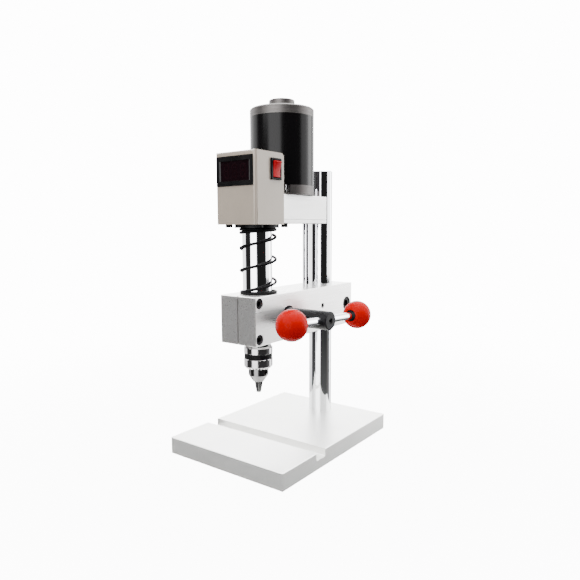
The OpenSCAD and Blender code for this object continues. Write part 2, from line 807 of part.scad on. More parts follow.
module display_bezel() {
  shell = 1.4;
  room_w = meter_w - 2 * shell;
  room_h = meter_h - 2 * shell;
  color("black") translate([0, box_y0, bezel_mid_z]) difference() {
    union() {
      bevelled_block([-bezel_w / 2, -bezel_proud, -bezel_h / 2], [bezel_w / 2, 0, bezel_h / 2], 0.4);
      translate([-meter_w / 2 + seat_gap, 0, -meter_h / 2 + seat_gap])
        cube([meter_w - 2 * seat_gap, meter_depth, meter_h - 2 * seat_gap]);
    }
    translate([0, 0, -window_h / 2]) linear_extrude(window_h) window_opening();
    translate([-room_w / 2, 0, -room_h / 2]) cube([room_w, meter_depth + cut, room_h]);
  }
}

// The bezel's opening seen from above: its sides slope out from the window to the rim's face
module window_opening() {
  half = window_w / 2;
  wide = half + bezel_slope * (bezel_proud + cut) / bezel_proud;
  polygon([[-wide, -bezel_proud - cut], [wide, -bezel_proud - cut], [half, 0], [half, cut],
    [-half, cut], [-half, 0]]);
}

// Fits inside the meter's shell, from a depth behind the panel's face
module meter_plate(depth, thickness) {
  edge = 1.6;
  w = meter_w - 2 * edge;
  h = meter_h - 2 * edge;
  translate([-w / 2, box_y0 + depth, bezel_mid_z - h / 2]) cube([w, thickness, h]);
}

module display_window() {
  color([0.16, 0.02, 0.03]) meter_plate(0, window_t);
}

module display_board() {
  color("darkgreen") meter_plate(window_t + digit_lift, board_t);
}

digit_lift = 0.4;
digit_count = 3;
digit_pitch = 10.6;
digit_w = digit_h * 0.52;
stroke = 1.5;

// One bar of a digit, drawn along +X from its middle
module bar_stroke(length) {
  half = length / 2;
  polygon([[-half, 0], [-half + stroke / 2, -stroke / 2], [half - stroke / 2, -stroke / 2],
    [half, 0], [half - stroke / 2, stroke / 2], [-half + stroke / 2, stroke / 2]]);
}

module digit() {
  across = digit_w - stroke - 0.3;
  down = digit_h / 2 - stroke / 2 - 0.3;
  for (y = [-1, 0, 1]) translate([0, y * (digit_h - stroke) / 2]) bar_stroke(across);
  for (x = [-1, 1], y = [-1, 1]) translate([x * (digit_w - stroke) / 2, y * (digit_h - stroke) / 4])
    rotate(90) bar_stroke(down);
}

module display_digits() {
  color("maroon") translate([0, box_y0 + window_t + digit_lift, bezel_mid_z]) rotate([90, 0, 0])
    linear_extrude(digit_lift) for (i = [0 : digit_count - 1])
      translate([(i - (digit_count - 1) / 2) * digit_pitch, 0]) digit();
}

// Speed control board, on spacers over the belt housing

speed_board_w = 28;
speed_board_d = 30;
board_inset = 3;
board_edge = 0.6;
spacer_d = 4.5;
spacer_h = 3;
heat_sink = [12, 3, 7];
capacitor_d = 4;
capacitor_h = 6;
speed_board_y = quill_y - housing_front + board_edge;
speed_board_z = housing_top + spacer_h;

module spacer_places() {
  for (x = [-1, 1], y = [board_inset, speed_board_d - board_inset])
    translate([x * (speed_board_w / 2 - board_inset), speed_board_y + y, housing_top]) children();
}

module speed_board() {
  top = speed_board_z + board_t;
  rear = speed_board_y + speed_board_d - 2 * board_inset - capacitor_d / 2;
  color("darkgreen") translate([-speed_board_w / 2, speed_board_y, speed_board_z])
    cube([speed_board_w, speed_board_d, board_t]);
  color("dimgray") translate([-speed_board_w / 2 + board_inset, rear - heat_sink[1] - capacitor_d / 2, top])
    cube(heat_sink);
  color("navy") for (x = [1, 2.25]) translate([x * capacitor_d, rear, top])
    cylinder(d = capacitor_d, h = capacitor_h);
}

module board_spacers() {
  color("white") spacer_places() cylinder(d = spacer_d, h = spacer_h);
}

module power_inlet() {
  nut_t = 2;
  color("black") translate([-box_w / 2, rocker_y, rocker_z]) rotate([0, 90, 0]) difference() {
    union() {
      translate([0, 0, -2.5]) cylinder(d = inlet_d + 3, h = 2.5);
      cylinder(d = inlet_d, h = 15);
      translate([0, 0, box_wall]) cylinder(d = inlet_d + 5, h = nut_t, $fn = 6);
    }
    translate([0, 0, -2.5 - cut]) difference() {
      cylinder(d = 5.5, h = 10);
      cylinder(d = 2.1, h = 10);
    }
  }
}

// Rocker switch, on the right-hand side of the box

rocker_pivot = 0.6;
paddle_w = rocker_w - 5.2;
paddle_half = rocker_h / 2 - 2.4;
peg_d = 2;
window_half = paddle_half + 0.75;

module rocker_frame() {
  proud = 1.9;
  depth = 13;
  window_x = paddle_w + 2 * free_gap;
  color("black") translate([box_w / 2, rocker_y, rocker_z]) difference() {
    union() {
      translate([0, -rocker_w / 2, -rocker_h / 2])
        bevelled_block([0, 0, 0], [proud, rocker_w, rocker_h], 0.4);
      translate([-depth, -rocker_body_w / 2 + seat_gap, -rocker_body_h / 2 + seat_gap])
        cube([depth, rocker_body_w - 2 * seat_gap, rocker_body_h - 2 * seat_gap]);
    }
    translate([-7, -window_x / 2, -window_half]) cube([proud + 7 + cut, window_x, 2 * window_half]);
    translate([rocker_pivot, 0, 0]) rotate([90, 0, 0])
      cylinder(d = peg_d + 2 * run_gap, h = window_x + 1.6, center = true);
  }
}

module rocker_paddle() {
  color("red") translate([box_w / 2 + rocker_pivot, rocker_y, rocker_z]) {
    rotate([0, rocker_swing / 2, 0]) rotate([90, 0, 0])
      linear_extrude(paddle_w, center = true) paddle_outline();
    rotate([90, 0, 0]) cylinder(d = peg_d, h = paddle_w + 2 * free_gap + 1.2, center = true);
  }
}

// The paddle from its side: two faces that meet in a shallow valley
module paddle_outline() {
  polygon([[-4, -4.5], [1, -paddle_half], [2.9, -paddle_half + 0.3], [1.6, 0],
    [2.9, paddle_half - 0.3], [1, paddle_half], [-4, 4.5]]);
}

// Motor

motor_bearing_d = 22;
motor_bearing_w = 7;
lower_motor_bearing_z = housing_top + 1.5;
upper_motor_bearing_z = bearing_cap_z - 1.5 - motor_bearing_w;
can_r = motor_d / 2 - can_wall;
spigot = 3;
spigot_r = can_r - seat_gap;
tie_r = can_r - 2.2;
tie_d = 3.4;
notch_w = 7.6;
notch_floor = housing_top + 1.6;

module tie_places() {
  for (a = [45 : 90 : 315]) translate([0, motor_y, 0]) rotate([0, 0, a]) translate([tie_r, 0, 0]) children();
}

module motor_base_cap() {
  bearing_gap = motor_bearing_d + 2 * seat_gap;
  color("darkgray") difference() {
    translate([0, motor_y, housing_top]) union() {
      cylinder(d = motor_d, h = base_cap_h);
      cylinder(r = spigot_r, h = base_cap_h + spigot);
    }
    translate([0, motor_y, housing_top - cut]) cylinder(d = motor_shaft_d + 4, h = base_cap_h + 2 * cut);
    translate([0, motor_y, lower_motor_bearing_z]) cylinder(d = bearing_gap, h = base_cap_h + spigot);
    tie_places() translate([-tie_d / 2 - 1.4, -notch_w / 2, notch_floor])
      cube([20, notch_w, can_z - notch_floor]);
    tie_places() translate([0, 0, can_z - cut]) cylinder(d = tie_d + 2 * screw_gap, h = spigot + 2 * cut);
    mount_screw_places() cylinder(d = M5[0] + 2 * seat_gap, h = mount_screw_len + 0.5);
  }
}

module motor_can() {
  color([0.08, 0.08, 0.09]) translate([0, motor_y, can_z]) tube(motor_d, 2 * can_r, can_h);
}

module motor_top_cap() {
  edge = 1.2;
  r = motor_d / 2;
  color("darkgray") translate([0, motor_y, 0]) difference() {
    rotate_extrude() union() {
      polygon([[0, top_cap_z], [r, top_cap_z], [r, bearing_cap_z - edge],
        [r - edge, bearing_cap_z], [0, bearing_cap_z]]);
      translate([0, top_cap_z - spigot]) square([spigot_r, spigot]);
    }
    translate([0, 0, top_cap_z - spigot - cut])
      cylinder(d = motor_bearing_d + 2 * seat_gap, h = bearing_cap_z - top_cap_z + spigot - 1.5 + cut);
    translate([0, 0, bearing_cap_z - 2]) cylinder(d = motor_shaft_d + 4, h = 4);
    translate([0, -motor_y, 0]) tie_places()
      translate([0, 0, top_cap_z - spigot - cut]) cylinder(d = tie_d + 2 * seat_gap, h = spigot + 7 + cut);
  }
}

module motor_bearing_cap() {
  edge = 0.6;
  r = bearing_cap_d / 2;
  color("silver") translate([0, motor_y, bearing_cap_z]) difference() {
    rotate_extrude() polygon([[0, 0], [r, 0], [r, bearing_cap_h - edge], [r - edge, bearing_cap_h],
      [0, bearing_cap_h]]);
    translate([0, 0, -cut]) cylinder(d = motor_shaft_d + 4, h = bearing_cap_h - 2 + cut);
  }
}

magnet_t = 2.8;
brush_room = 19;

module motor_magnets() {
  arc = 76;
  color("dimgray") translate([0, motor_y, can_z + spigot]) for (side = [0, 180])
    rotate([0, 0, side - arc / 2]) rotate_extrude(angle = arc)
      translate([can_r - seat_gap - magnet_t, 0]) square([magnet_t, can_h - spigot - brush_room]);
}

brush_w = 6;
brush_len = 14;
brush_post = 8;

module motor_brushes() {
  inner = commutator_d / 2 + free_gap;
  low = commutator_z + 2;
  color("dimgray") translate([0, motor_y, 0]) for (side = [0, 180]) rotate([0, 0, side]) {
    translate([inner, -brush_w / 2, low]) cube([brush_len, brush_w, brush_w]);
    translate([inner + brush_len - brush_post, -brush_w / 2, low])
      cube([brush_post, brush_w, top_cap_z - spigot - low]);
  }
}

module motor_bearing_outers() {
  color("silver") for (z = [lower_motor_bearing_z, upper_motor_bearing_z]) translate([0, motor_y, z])
    outer_ring(motor_bearing_d, motor_shaft_d, motor_bearing_w);
}

module motor_bearing_inners() {
  color("silver") for (z = [lower_motor_bearing_z, upper_motor_bearing_z]) translate([0, motor_y, z])
    inner_ring(motor_bearing_d, motor_shaft_d, motor_bearing_w);
}

module motor_tie_bolts() {
  color("silver") tie_places() translate([0, 0, notch_floor]) {
    cylinder(d = 6, h = 2.6, $fn = 6);
    cylinder(d = tie_d, h = top_cap_z + 6 - notch_floor);
  }
}

module motor_mount_screws() {
  color("dimgray") mount_screw_places() cap_screw(M5, mount_screw_len);
}

armature_z = can_z + 12;
armature_h = 40;
armature_d = 2 * (can_r - magnet_t) - 3;
commutator_d = 22;
commutator_z = armature_z + armature_h + 3;
shaft_foot = pulley_z - 0.5;
shaft_head = bearing_cap_z + 2;

module motor_shaft() {
  shoulder_z = lower_motor_bearing_z + motor_bearing_w;
  color("silver") translate([0, motor_y, 0]) {
    translate([0, 0, shaft_foot]) cylinder(d = motor_shaft_d, h = shaft_head - shaft_foot);
    translate([0, 0, shoulder_z]) cylinder(d = motor_shaft_d + 3, h = armature_z - shoulder_z);
  }
}

module armature() {
  slots = 12;
  color("saddlebrown") translate([0, motor_y, armature_z]) difference() {
    cylinder(d = armature_d, h = armature_h);
    translate([0, 0, -cut]) cylinder(d = motor_shaft_d + 2 * seat_gap, h = armature_h + 2 * cut);
    for (a = [0 : 360 / slots : 359]) rotate([0, 0, a]) translate([armature_d / 2 - 8, -1.2, -cut])
      cube([10, 2.4, armature_h + 2 * cut]);
  }
}

module commutator() {
  color("peru") translate([0, motor_y, armature_z + armature_h]) {
    tube(commutator_d - 6, motor_shaft_d + 2 * seat_gap, 3);
    translate([0, 0, 3]) tube(commutator_d, motor_shaft_d + 2 * seat_gap, 10);
  }
}

module motor_pulley() {
  color("silver") translate([0, motor_y, pulley_z]) pulley(motor_shaft_d);
}

// Spindle

spindle_top_d = 10;
nut_seat = pulley_z + pulley_h;
collar_d = spindle_bearing_bore + 2.4;

module spindle() {
  r = spindle_bearing_bore / 2;
  thread_r = M8[0] / 2;
  color("silver") translate([0, quill_y, 0]) rotate_extrude() polygon([
    [0, chuck_top - taper_len], [taper_end_r, chuck_top - taper_len], [taper_r, chuck_top],
    [collar_d / 2, chuck_top], [collar_d / 2, lower_bearing_z], [r, lower_bearing_z],
    [r, lower_bearing_z + spindle_bearing_w], [spindle_d / 2, lower_bearing_z + spindle_bearing_w],
    [spindle_d / 2, upper_bearing_z], [r, upper_bearing_z], [r, pulley_z],
    [spindle_top_d / 2, pulley_z], [spindle_top_d / 2, nut_seat - 0.4], [thread_r, nut_seat - 0.4],
    [thread_r, nut_seat + 5.5], [0, nut_seat + 5.5]]);
}

module spindle_pulley() {
  color("silver") translate([0, quill_y, pulley_z]) pulley(spindle_top_d);
}

module pulley_nut() {
  color("silver") translate([0, quill_y, nut_seat]) difference() {
    cylinder(d = 15, h = 5, $fn = 6);
    translate([0, 0, -cut]) cylinder(d = M8[0] + 2 * seat_gap, h = 5 + 2 * cut);
  }
}

// Feed shaft and handle

function involute(a) = tan(a) * 180 / PI - a;
base_r = pitch_r * cos(pressure);
flank_steps = 4;
tooth_half = (tooth_pitch / 2 - tooth_play / 2) / (2 * pitch_r) * 180 / PI;
function flank_angle(r) = tooth_half + involute(pressure) - involute(acos(min(1, base_r / r)));
function flank_r(i) = base_r + (pinion_tip_r - base_r) * i / flank_steps;
function tooth_points(mid) = concat(
  [let (a = mid - flank_angle(base_r)) (pitch_r - tooth_root) * [cos(a), sin(a)]],
  [for (i = [0 : flank_steps]) let (r = flank_r(i), a = mid - flank_angle(r)) r * [cos(a), sin(a)]],
  [for (i = [flank_steps : -1 : 0]) let (r = flank_r(i), a = mid + flank_angle(r)) r * [cos(a), sin(a)]],
  [let (a = mid + flank_angle(base_r)) (pitch_r - tooth_root) * [cos(a), sin(a)]]);

bar_x = head_w / 2 + hub_len - bar_inset;

module feed_frame() {
  translate([0, feed_y, feed_z]) children();
}

// Places something along the bar: its own +Z runs from the hub to the rear ball
module along_bar() {
  translate([bar_x, feed_y, feed_z]) rotate([-bar_tilt, 0, 0]) rotate([-90, 0, 0]) children();
}

module pinion_shaft() {
  bevel = 0.8;
  right = head_w / 2;
  hub_end = right + hub_len;
  r = hub_d / 2;
  color([0.1, 0.1, 0.11]) difference() {
    union() {
      feed_frame() rotate([0, 90, 0]) rotate_extrude() polygon([[0, pinion_w / 2], [r, pinion_w / 2],
        [r, hub_end - bevel], [r - bevel, hub_end], [0, hub_end]]);
      feed_frame() rotate([90, 0, 90]) translate([0, 0, -pinion_w / 2]) linear_extrude(pinion_w)
        polygon([for (i = [0 : pinion_teeth - 1], p = tooth_points(180 + 360 * i / pinion_teeth)) p]);
      feed_frame() rotate([0, -90, 0]) cylinder(d = journal_d, h = right + free_gap);
    }
    along_bar() cylinder(d = bar_d + 2 * seat_gap, h = 2 * hub_d, center = true);
    translate([hub_end + cut, feed_y, feed_z]) from_right()
      cylinder(d = M6[0] + 2 * seat_gap, h = bar_inset + cut);
    translate([-right - free_gap - cut, feed_y, feed_z]) rotate([0, 90, 0])
      cylinder(d = M4[0] + 2 * seat_gap, h = 12 + cut);
  }
}

module handle_bar() {
  color("gainsboro") along_bar() translate([0, 0, -bar_front - bar_grip])
    cylinder(d = bar_d, h = bar_front + bar_rear + 2 * bar_grip);
}

bar_grip = 5;
ball_flat = ball_d / 2 - 1.4;

// The two ends of the bar, each with its own +Z towards the hub
module bar_ends() {
  along_bar() translate([0, 0, -bar_front]) children();
  along_bar() translate([0, 0, bar_rear]) mirror([0, 0, 1]) children();
}

module handle_balls() {
  color("red") bar_ends() difference() {
    sphere(d = ball_d);
    translate([0, 0, ball_flat]) cylinder(d = ball_d, h = ball_d);
    translate([0, 0, -bar_grip - 2]) cylinder(d = insert_d + 2 * seat_gap, h = ball_d);
  }
}

module ball_inserts() {
  color("black") bar_ends() difference() {
    translate([0, 0, -bar_grip - 2]) cylinder(d = insert_d, h = bar_grip + 2 + ball_flat);
    translate([0, 0, -bar_grip]) cylinder(d = bar_d + 2 * seat_gap, h = ball_d);
  }
}

module bar_grub_screw() {
  length = bar_inset - bar_d / 2 - 0.8;
  color("dimgray") translate([bar_x + bar_d / 2 + length, feed_y, feed_z])
    from_right() grub_screw(M6, length);
}

module pinion_end_screw() {
  end_x = head_w / 2 + free_gap;
  color("dimgray") translate([-end_x, feed_y, feed_z]) rotate([0, 90, 0]) difference() {
    union() {
      translate([0, 0, -2.5]) cylinder(d = end_bush_d, h = 2.5);
      cylinder(d = M4[0], h = 10);
    }
    translate([0, 0, -2.5 - cut]) cylinder(d = M4[3], h = 1.6 + cut, $fn = 6);
  }
}

// Chuck

jaw_angles = [60, 180, 300];

// Distance of a jaw's axis from the chuck's axis at a height
function jaw_offset(z) = jaw_tip_offset + (z - chuck_tip) * tan(jaw_slope);

// Places something along the jaw's axis: its own +Z points up the bore from the tip
module along_jaw(a) {
  translate([0, quill_y, chuck_tip]) rotate([0, 0, a]) translate([jaw_tip_offset, 0, 0])
    rotate([0, jaw_slope, 0]) children();
}

module chuck_body() {
  cap_r = sleeve_bore + 1;
  flange_r = sleeve_bore - run_gap;
  flange_z = sleeve_top - 4;
  color("gray") difference() {
    translate([0, quill_y, 0]) rotate_extrude() polygon([[0, nose_end_z], [5.8, nose_end_z],
      [chuck_nose_d / 2, nose_cone_z], [chuck_nose_d / 2, sleeve_z - 0.2], [core_r, sleeve_z - 0.2],
      [core_r, nut_z - run_gap], [7.6, nut_z - run_gap], [7.6, nut_z + nut_h + free_gap],
      [core_r, nut_z + nut_h + free_gap], [core_r, flange_z], [flange_r, flange_z],
      [flange_r, sleeve_top + 0.2], [cap_r, sleeve_top + 0.2], [cap_r, chuck_top - 1.6],
      [cap_r - 1.6, chuck_top], [0, chuck_top]]);
    translate([0, quill_y, chuck_top - taper_len]) cylinder(r1 = taper_end_r + seat_gap,
      r2 = taper_r + seat_gap, h = taper_len + 0.001);
    translate([0, quill_y, nose_end_z - cut])
      cylinder(d = shank_bore, h = chuck_top - taper_len - nose_end_z + 2 * cut);
    for (a = jaw_angles) along_jaw(a) cylinder(d = jaw_d + 2 * run_gap, h = jaw_len + jaw_travel + 1.5);
    for (a = [0 : 120 : 240]) translate([0, quill_y, key_hole_z]) rotate([0, 0, a])
      translate([chuck_nose_d / 2 - key_hole_depth, 0, 0]) rotate([0, 90, 0])
        cylinder(d = key_hole_d, h = key_hole_depth + cut);
  }
}

key_hole_z = sleeve_z - 3.6;

module chuck_sleeve() {
  r = chuck_d / 2;
  knurl_low = sleeve_z + 10.3;
  knurl_high = knurl_low + 5.6;
  teeth = 24;
  color("silver") translate([0, quill_y, 0]) difference() {
    rotate_extrude() polygon([[core_r + run_gap, sleeve_z], [r - 2, sleeve_z], [r, sleeve_z + 2.4],
      [r, knurl_low], [r - 0.4, knurl_low], [r - 0.4, knurl_high], [r, knurl_high],
      [r, sleeve_top - 1.6], [r - 1.6, sleeve_top], [sleeve_bore, sleeve_top], [sleeve_bore, nut_z],
      [core_r + run_gap, nut_z]]);
    for (i = [0 : teeth - 1]) rotate([0, 0, 360 * i / teeth]) translate([core_r + 1.2, -0.6, sleeve_z - cut])
      cube([r, 1.2, 1.6 + cut]);
  }
}

module chuck_nut() {
  wall_low = jaw_offset(nut_z) + jaw_d / 2 / cos(jaw_slope) + run_gap;
  wall_high = jaw_offset(nut_z + nut_h) + jaw_d / 2 / cos(jaw_slope) + run_gap;
  color("gray") translate([0, quill_y, 0]) rotate_extrude() polygon([[wall_low, nut_z],
    [sleeve_bore - seat_gap, nut_z], [sleeve_bore - seat_gap, nut_z + nut_h], [wall_high, nut_z + nut_h]]);
}

// One jaw: a slanted pin, pointed at its tip and flat where it meets the other two
module jaw(a) {
  half_gap = 0.05;
  tip_r = jaw_tip_d / 2;
  reach = 20;
  color("dimgray") intersection() {
    along_jaw(a) translate([0, 0, -3]) cylinder(d = jaw_d, h = jaw_len + 3);
    translate([0, quill_y, chuck_tip]) rotate([0, 0, a]) translate([half_gap, 0, 0]) linear_extrude(60)
      polygon([[0, 0], [reach, -reach * tan(60)], [reach, reach * tan(60)]]);
    translate([0, quill_y, chuck_tip]) union() {
      cylinder(r1 = tip_r, r2 = tip_r + 3, h = 9);
      translate([0, 0, 8.9]) cylinder(r = 16, h = 40);
    }
  }
}

module jaw_1() { jaw(jaw_angles[0]); }
module jaw_2() { jaw(jaw_angles[1]); }
module jaw_3() { jaw(jaw_angles[2]); }

base_plate();
column_bolt();
column();
head_block();
quill_clamp_screws();
column_clamp_screw();
guide_rod();
rod_grub_screw();
pinion_bushes();
return_spring();
quill();
quill_flange();
flange_screws();
spindle_bearing_outers();
belt_housing();
housing_cover();
cover_screws();
guide_bush();
drive_belt();
control_box();
box_screws();
display_bezel();
display_window();
display_board();
display_digits();
speed_board();
board_spacers();
power_inlet();
rocker_frame();
rocker_paddle();
motor_can();
motor_top_cap();
motor_bearing_cap();
motor_base_cap();
motor_magnets();
motor_brushes();
motor_bearing_outers();
motor_tie_bolts();
motor_mount_screws();
spindle();
spindle_bearing_inners();
spindle_pulley();
pulley_nut();
motor_shaft();
armature();
commutator();
motor_bearing_inners();
motor_pulley();
pinion_shaft();
handle_bar();
handle_balls();
ball_inserts();
bar_grub_screw();
pinion_end_screw();
chuck_body();
chuck_sleeve();
chuck_nut();
jaw_1();
jaw_2();
jaw_3();
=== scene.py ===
"""Dresses the mini bench drill: finishes for every piece, and detailed pieces where the solids are plain."""

import math
from typing import NamedTuple

import bmesh
import bpy
from bpy.props import FloatProperty, FloatVectorProperty, IntProperty, PointerProperty
from mathutils import Matrix, Vector


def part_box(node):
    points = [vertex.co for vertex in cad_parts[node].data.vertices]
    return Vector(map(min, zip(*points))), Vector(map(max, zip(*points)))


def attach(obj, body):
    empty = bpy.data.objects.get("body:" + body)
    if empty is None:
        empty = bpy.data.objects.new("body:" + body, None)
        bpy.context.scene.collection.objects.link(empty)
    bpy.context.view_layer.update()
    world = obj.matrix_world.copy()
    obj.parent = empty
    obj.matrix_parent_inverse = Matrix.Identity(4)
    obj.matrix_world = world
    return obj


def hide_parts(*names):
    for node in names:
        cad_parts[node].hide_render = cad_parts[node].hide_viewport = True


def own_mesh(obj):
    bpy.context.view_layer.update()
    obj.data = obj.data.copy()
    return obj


bl_info = {
    "name": "Mini Bench Drill",
    "version": (1, 0, 0),
    "blender": (4, 5, 0),
    "location": "3D View > Sidebar > Bench Drill",
    "description": "Finishes, screws, spring, chuck, switch and stage of a mini bench drill",
    "category": "Add Mesh",
}

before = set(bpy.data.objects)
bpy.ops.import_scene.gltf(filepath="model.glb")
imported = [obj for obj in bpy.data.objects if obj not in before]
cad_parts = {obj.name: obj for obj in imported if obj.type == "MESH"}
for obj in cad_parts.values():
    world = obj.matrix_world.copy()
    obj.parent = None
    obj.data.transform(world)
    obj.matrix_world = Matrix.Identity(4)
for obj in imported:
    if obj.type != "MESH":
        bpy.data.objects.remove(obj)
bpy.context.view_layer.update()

MM = 0.001
TURN = 2 * math.pi
UP = (0, 0, 1)


def size_of(node):
    """Width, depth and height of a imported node, in metres."""
    low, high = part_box(node)
    return high - low


def middle_of(node):
    """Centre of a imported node's box."""
    low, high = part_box(node)
    return (low + high) / 2


QUILL_AXIS = middle_of("quill_flange")
MOTOR_AXIS = middle_of("motor_can")
COLUMN_AXIS = middle_of("column")

# Settings


def colour_setting(name, description, default):
    return FloatVectorProperty(
        name=name, description=description, default=default, size=3, min=0.0, max=1.0, subtype="COLOR"
    )


def length_setting(name, description, default, low, high):
    return FloatProperty(
        name=name, description=description, default=default, min=low, max=high, unit="LENGTH", precision=5
    )


def count_setting(name, description, default, low, high):
    return IntProperty(name=name, description=description, default=default, min=low, max=high)


class DrillColours(bpy.types.PropertyGroup):
    """Colours of the drill's finishes."""

    plate: colour_setting("Plate", "Matte aluminium of the base plate", (0.86, 0.86, 0.84))
    block: colour_setting("Block", "Brushed aluminium of the head block", (0.80, 0.79, 0.78))
    housing: colour_setting("Housing", "Satin aluminium of the belt housing", (0.93, 0.93, 0.92))
    paint: colour_setting("Box paint", "Warm grey paint of the control box", (0.40, 0.345, 0.285))
    ball: colour_setting("Balls", "Polished plastic of the handle balls", (0.42, 0.0, 0.0))
    paddle: colour_setting("Rocker", "Moulded plastic of the rocker switch", (0.40, 0.003, 0.008))
    enamel: colour_setting("Motor", "Satin black of the motor's can", (0.004, 0.0036, 0.004))
    alloy: colour_setting("Motor caps", "Turned alloy of the motor's caps", (0.075, 0.069, 0.067))
    chrome: colour_setting("Polished steel", "Ground and plated bars", (0.84, 0.85, 0.87))
    black: colour_setting("Black steel", "Blackened screws, spring and hub", (0.006, 0.006, 0.0068))


class DrillSizes(bpy.types.PropertyGroup):
    """Sizes of the detail that the finished pieces add to the solids."""

    wire: length_setting("Spring wire", "Diameter of the return spring's wire", 2.8 * MM, 1 * MM, 3.2 * MM)
    coil_rise: length_setting("Coil rise", "Rise of one working coil", 22.9 * MM, 10 * MM, 30 * MM)
    knurl_pitch: length_setting("Knurl pitch", "Width of one knurl diamond", 1.3 * MM, 0.8 * MM, 3 * MM)
    knurl_depth: length_setting("Knurl depth", "Depth of the sleeve's knurl", 0.28 * MM, 0.1 * MM, 0.4 * MM)
    sleeve_teeth: count_setting("Key teeth", "Teeth for the chuck key", 24, 12, 36)
    tooth_depth: length_setting("Tooth depth", "Depth of the key teeth", 1.1 * MM, 0.4 * MM, 1.8 * MM)
    flutes: count_setting("Screw flutes", "Flutes round a screw's head", 28, 12, 40)


# Node trees


class Tree:
    """Adds nodes to a tree and links them, one call for each node."""

    def __init__(self, tree):
        self.tree = tree

    def add(self, kind, settings=None, inputs=None):
        node = self.tree.nodes.new(kind)
        for key, value in (settings or {}).items():
            setattr(node, key, value)
        for key, value in (inputs or {}).items():
            self.plug(value, node.inputs[key])
        return node

    def plug(self, value, socket):
        """Links a node or a socket to an input, or sets the input to a plain value."""
        if isinstance(value, bpy.types.Node):
            value = next(out for out in value.outputs if out.enabled)
        if isinstance(value, bpy.types.NodeSocket):
            self.tree.links.new(value, socket)
        else:
            socket.default_value = value

    def calc(self, operation, *values):
        return self.add("ShaderNodeMath", {"operation": operation}, dict(enumerate(values)))

    def vector(self, operation, *values):
        return self.add("ShaderNodeVectorMath", {"operation": operation}, dict(enumerate(values)))

    def remap(self, value, low, high, start=0.3, end=0.7, smooth=False):
        """A value between start and end spread from low to high; a noise lies mostly from 0.3 to 0.7."""
        return self.add(
            "ShaderNodeMapRange",
            {"interpolation_type": "SMOOTHSTEP"} if smooth else None,
            {"Value": value, "From Min": start, "From Max": end, "To Min": low, "To Max": high},
        )

    def mix(self, share, first, second):
        """A blend of two colours."""
        colours = {0: share, 6: first, 7: second}
        return self.add("ShaderNodeMix", {"data_type": "RGBA"}, colours).outputs[2]


# Finishes


class Finish(Tree):
    """A material round one Principled shader, with the patterns that its finishes share."""

    def __init__(self, name, **shader_values):
        self.material = bpy.data.materials.new(name)
        self.material.use_nodes = True
        super().__init__(self.material.node_tree)
        self.shader = self.tree.nodes["Principled BSDF"]
        for key, value in shader_values.items():
            self.shader.inputs[key.replace("_", " ").title().replace("Ior", "IOR")].default_value = value
        self.place = self.add("ShaderNodeTexCoord").outputs["Object"]

    def noise(self, scale, stretch=(1, 1, 1), detail=5.0):
        mapping = self.add("ShaderNodeMapping", None, {"Vector": self.place, "Scale": stretch})
        return self.add("ShaderNodeTexNoise", None, {"Vector": mapping, "Scale": scale, "Detail": detail})

    def turning(self, centre, axis, scale):
        """Marks of a lathe tool: rings on the end faces, and lines round the sides."""
        offset = self.vector("SUBTRACT", self.place, tuple(centre))
        height = self.vector("DOT_PRODUCT", offset, tuple(axis)).outputs["Value"]
        whole = self.vector("LENGTH", offset).outputs["Value"]
        flat = self.calc(
            "SUBTRACT", self.calc("MULTIPLY", whole, whole), self.calc("MULTIPLY", height, height)
        )
        radius = self.calc("SQRT", self.calc("MAXIMUM", flat, 0.0))
        position = self.calc("ADD", radius, height)
        return self.add(
            "ShaderNodeTexNoise", {"noise_dimensions": "1D"}, {"W": position, "Scale": scale, "Detail": 4.0}
        )

    def colours(self, pattern, dark, light):
        blend = self.mix(self.remap(pattern, 0.0, 1.0), (*dark, 1.0), (*light, 1.0))
        self.plug(blend, self.shader.inputs["Base Color"])

    def roughness(self, pattern, low, high):
        self.plug(self.remap(pattern, low, high), self.shader.inputs["Roughness"])

    def bump(self, pattern, strength, depth):
        node = self.add(
            "ShaderNodeBump", None, {"Strength": strength, "Distance": depth, "Height": pattern.outputs[0]}
        )
        self.plug(node, self.shader.inputs["Normal"])


def shade(colour, factor):
    """A colour made darker or lighter."""
    return tuple(min(1.0, channel * factor) for channel in colour)


def brushed_metal(name, colour, roughness, stretch, bump, metallic):
    """Metal with fine straight lines: the stretch is small along the brushing and large across it."""
    finish = Finish(name, metallic=metallic)
    lines = finish.noise(900.0, stretch, detail=8.0)
    clouds = finish.noise(14.0)
    finish.colours(clouds, shade(colour, 0.95), shade(colour, 1.03))
    finish.roughness(lines, roughness * 0.82, roughness * 1.18)
    finish.bump(lines, bump, 0.02 * MM)
    return finish.material


def turned_metal(name, colour, roughness, centre, axis=UP, scale=1800.0, bump=0.15, metallic=1.0):
    """Metal with the fine rings of a lathe round an axis."""
    finish = Finish(name, metallic=metallic)
    rings = finish.turning(centre, axis, scale)
    smears = finish.noise(30.0)
    finish.colours(smears, shade(colour, 0.96), shade(colour, 1.02))
    finish.roughness(rings, roughness * 0.8, roughness * 1.25)
    finish.bump(rings, bump, 0.015 * MM)
    return finish.material


def blackened_steel(name, colour, roughness=0.34, gloss=0.06):
    """Black oxide: dark, a little uneven, with a soft metal sheen."""
    finish = Finish(name, specular_ior_level=gloss)
    mottle = finish.noise(260.0, detail=6.0)
    finish.colours(mottle, shade(colour, 0.7), shade(colour, 1.5))
    finish.roughness(mottle, roughness * 0.85, roughness * 1.2)
    finish.bump(finish.noise(1400.0), 0.12, 0.03 * MM)
    return finish.material


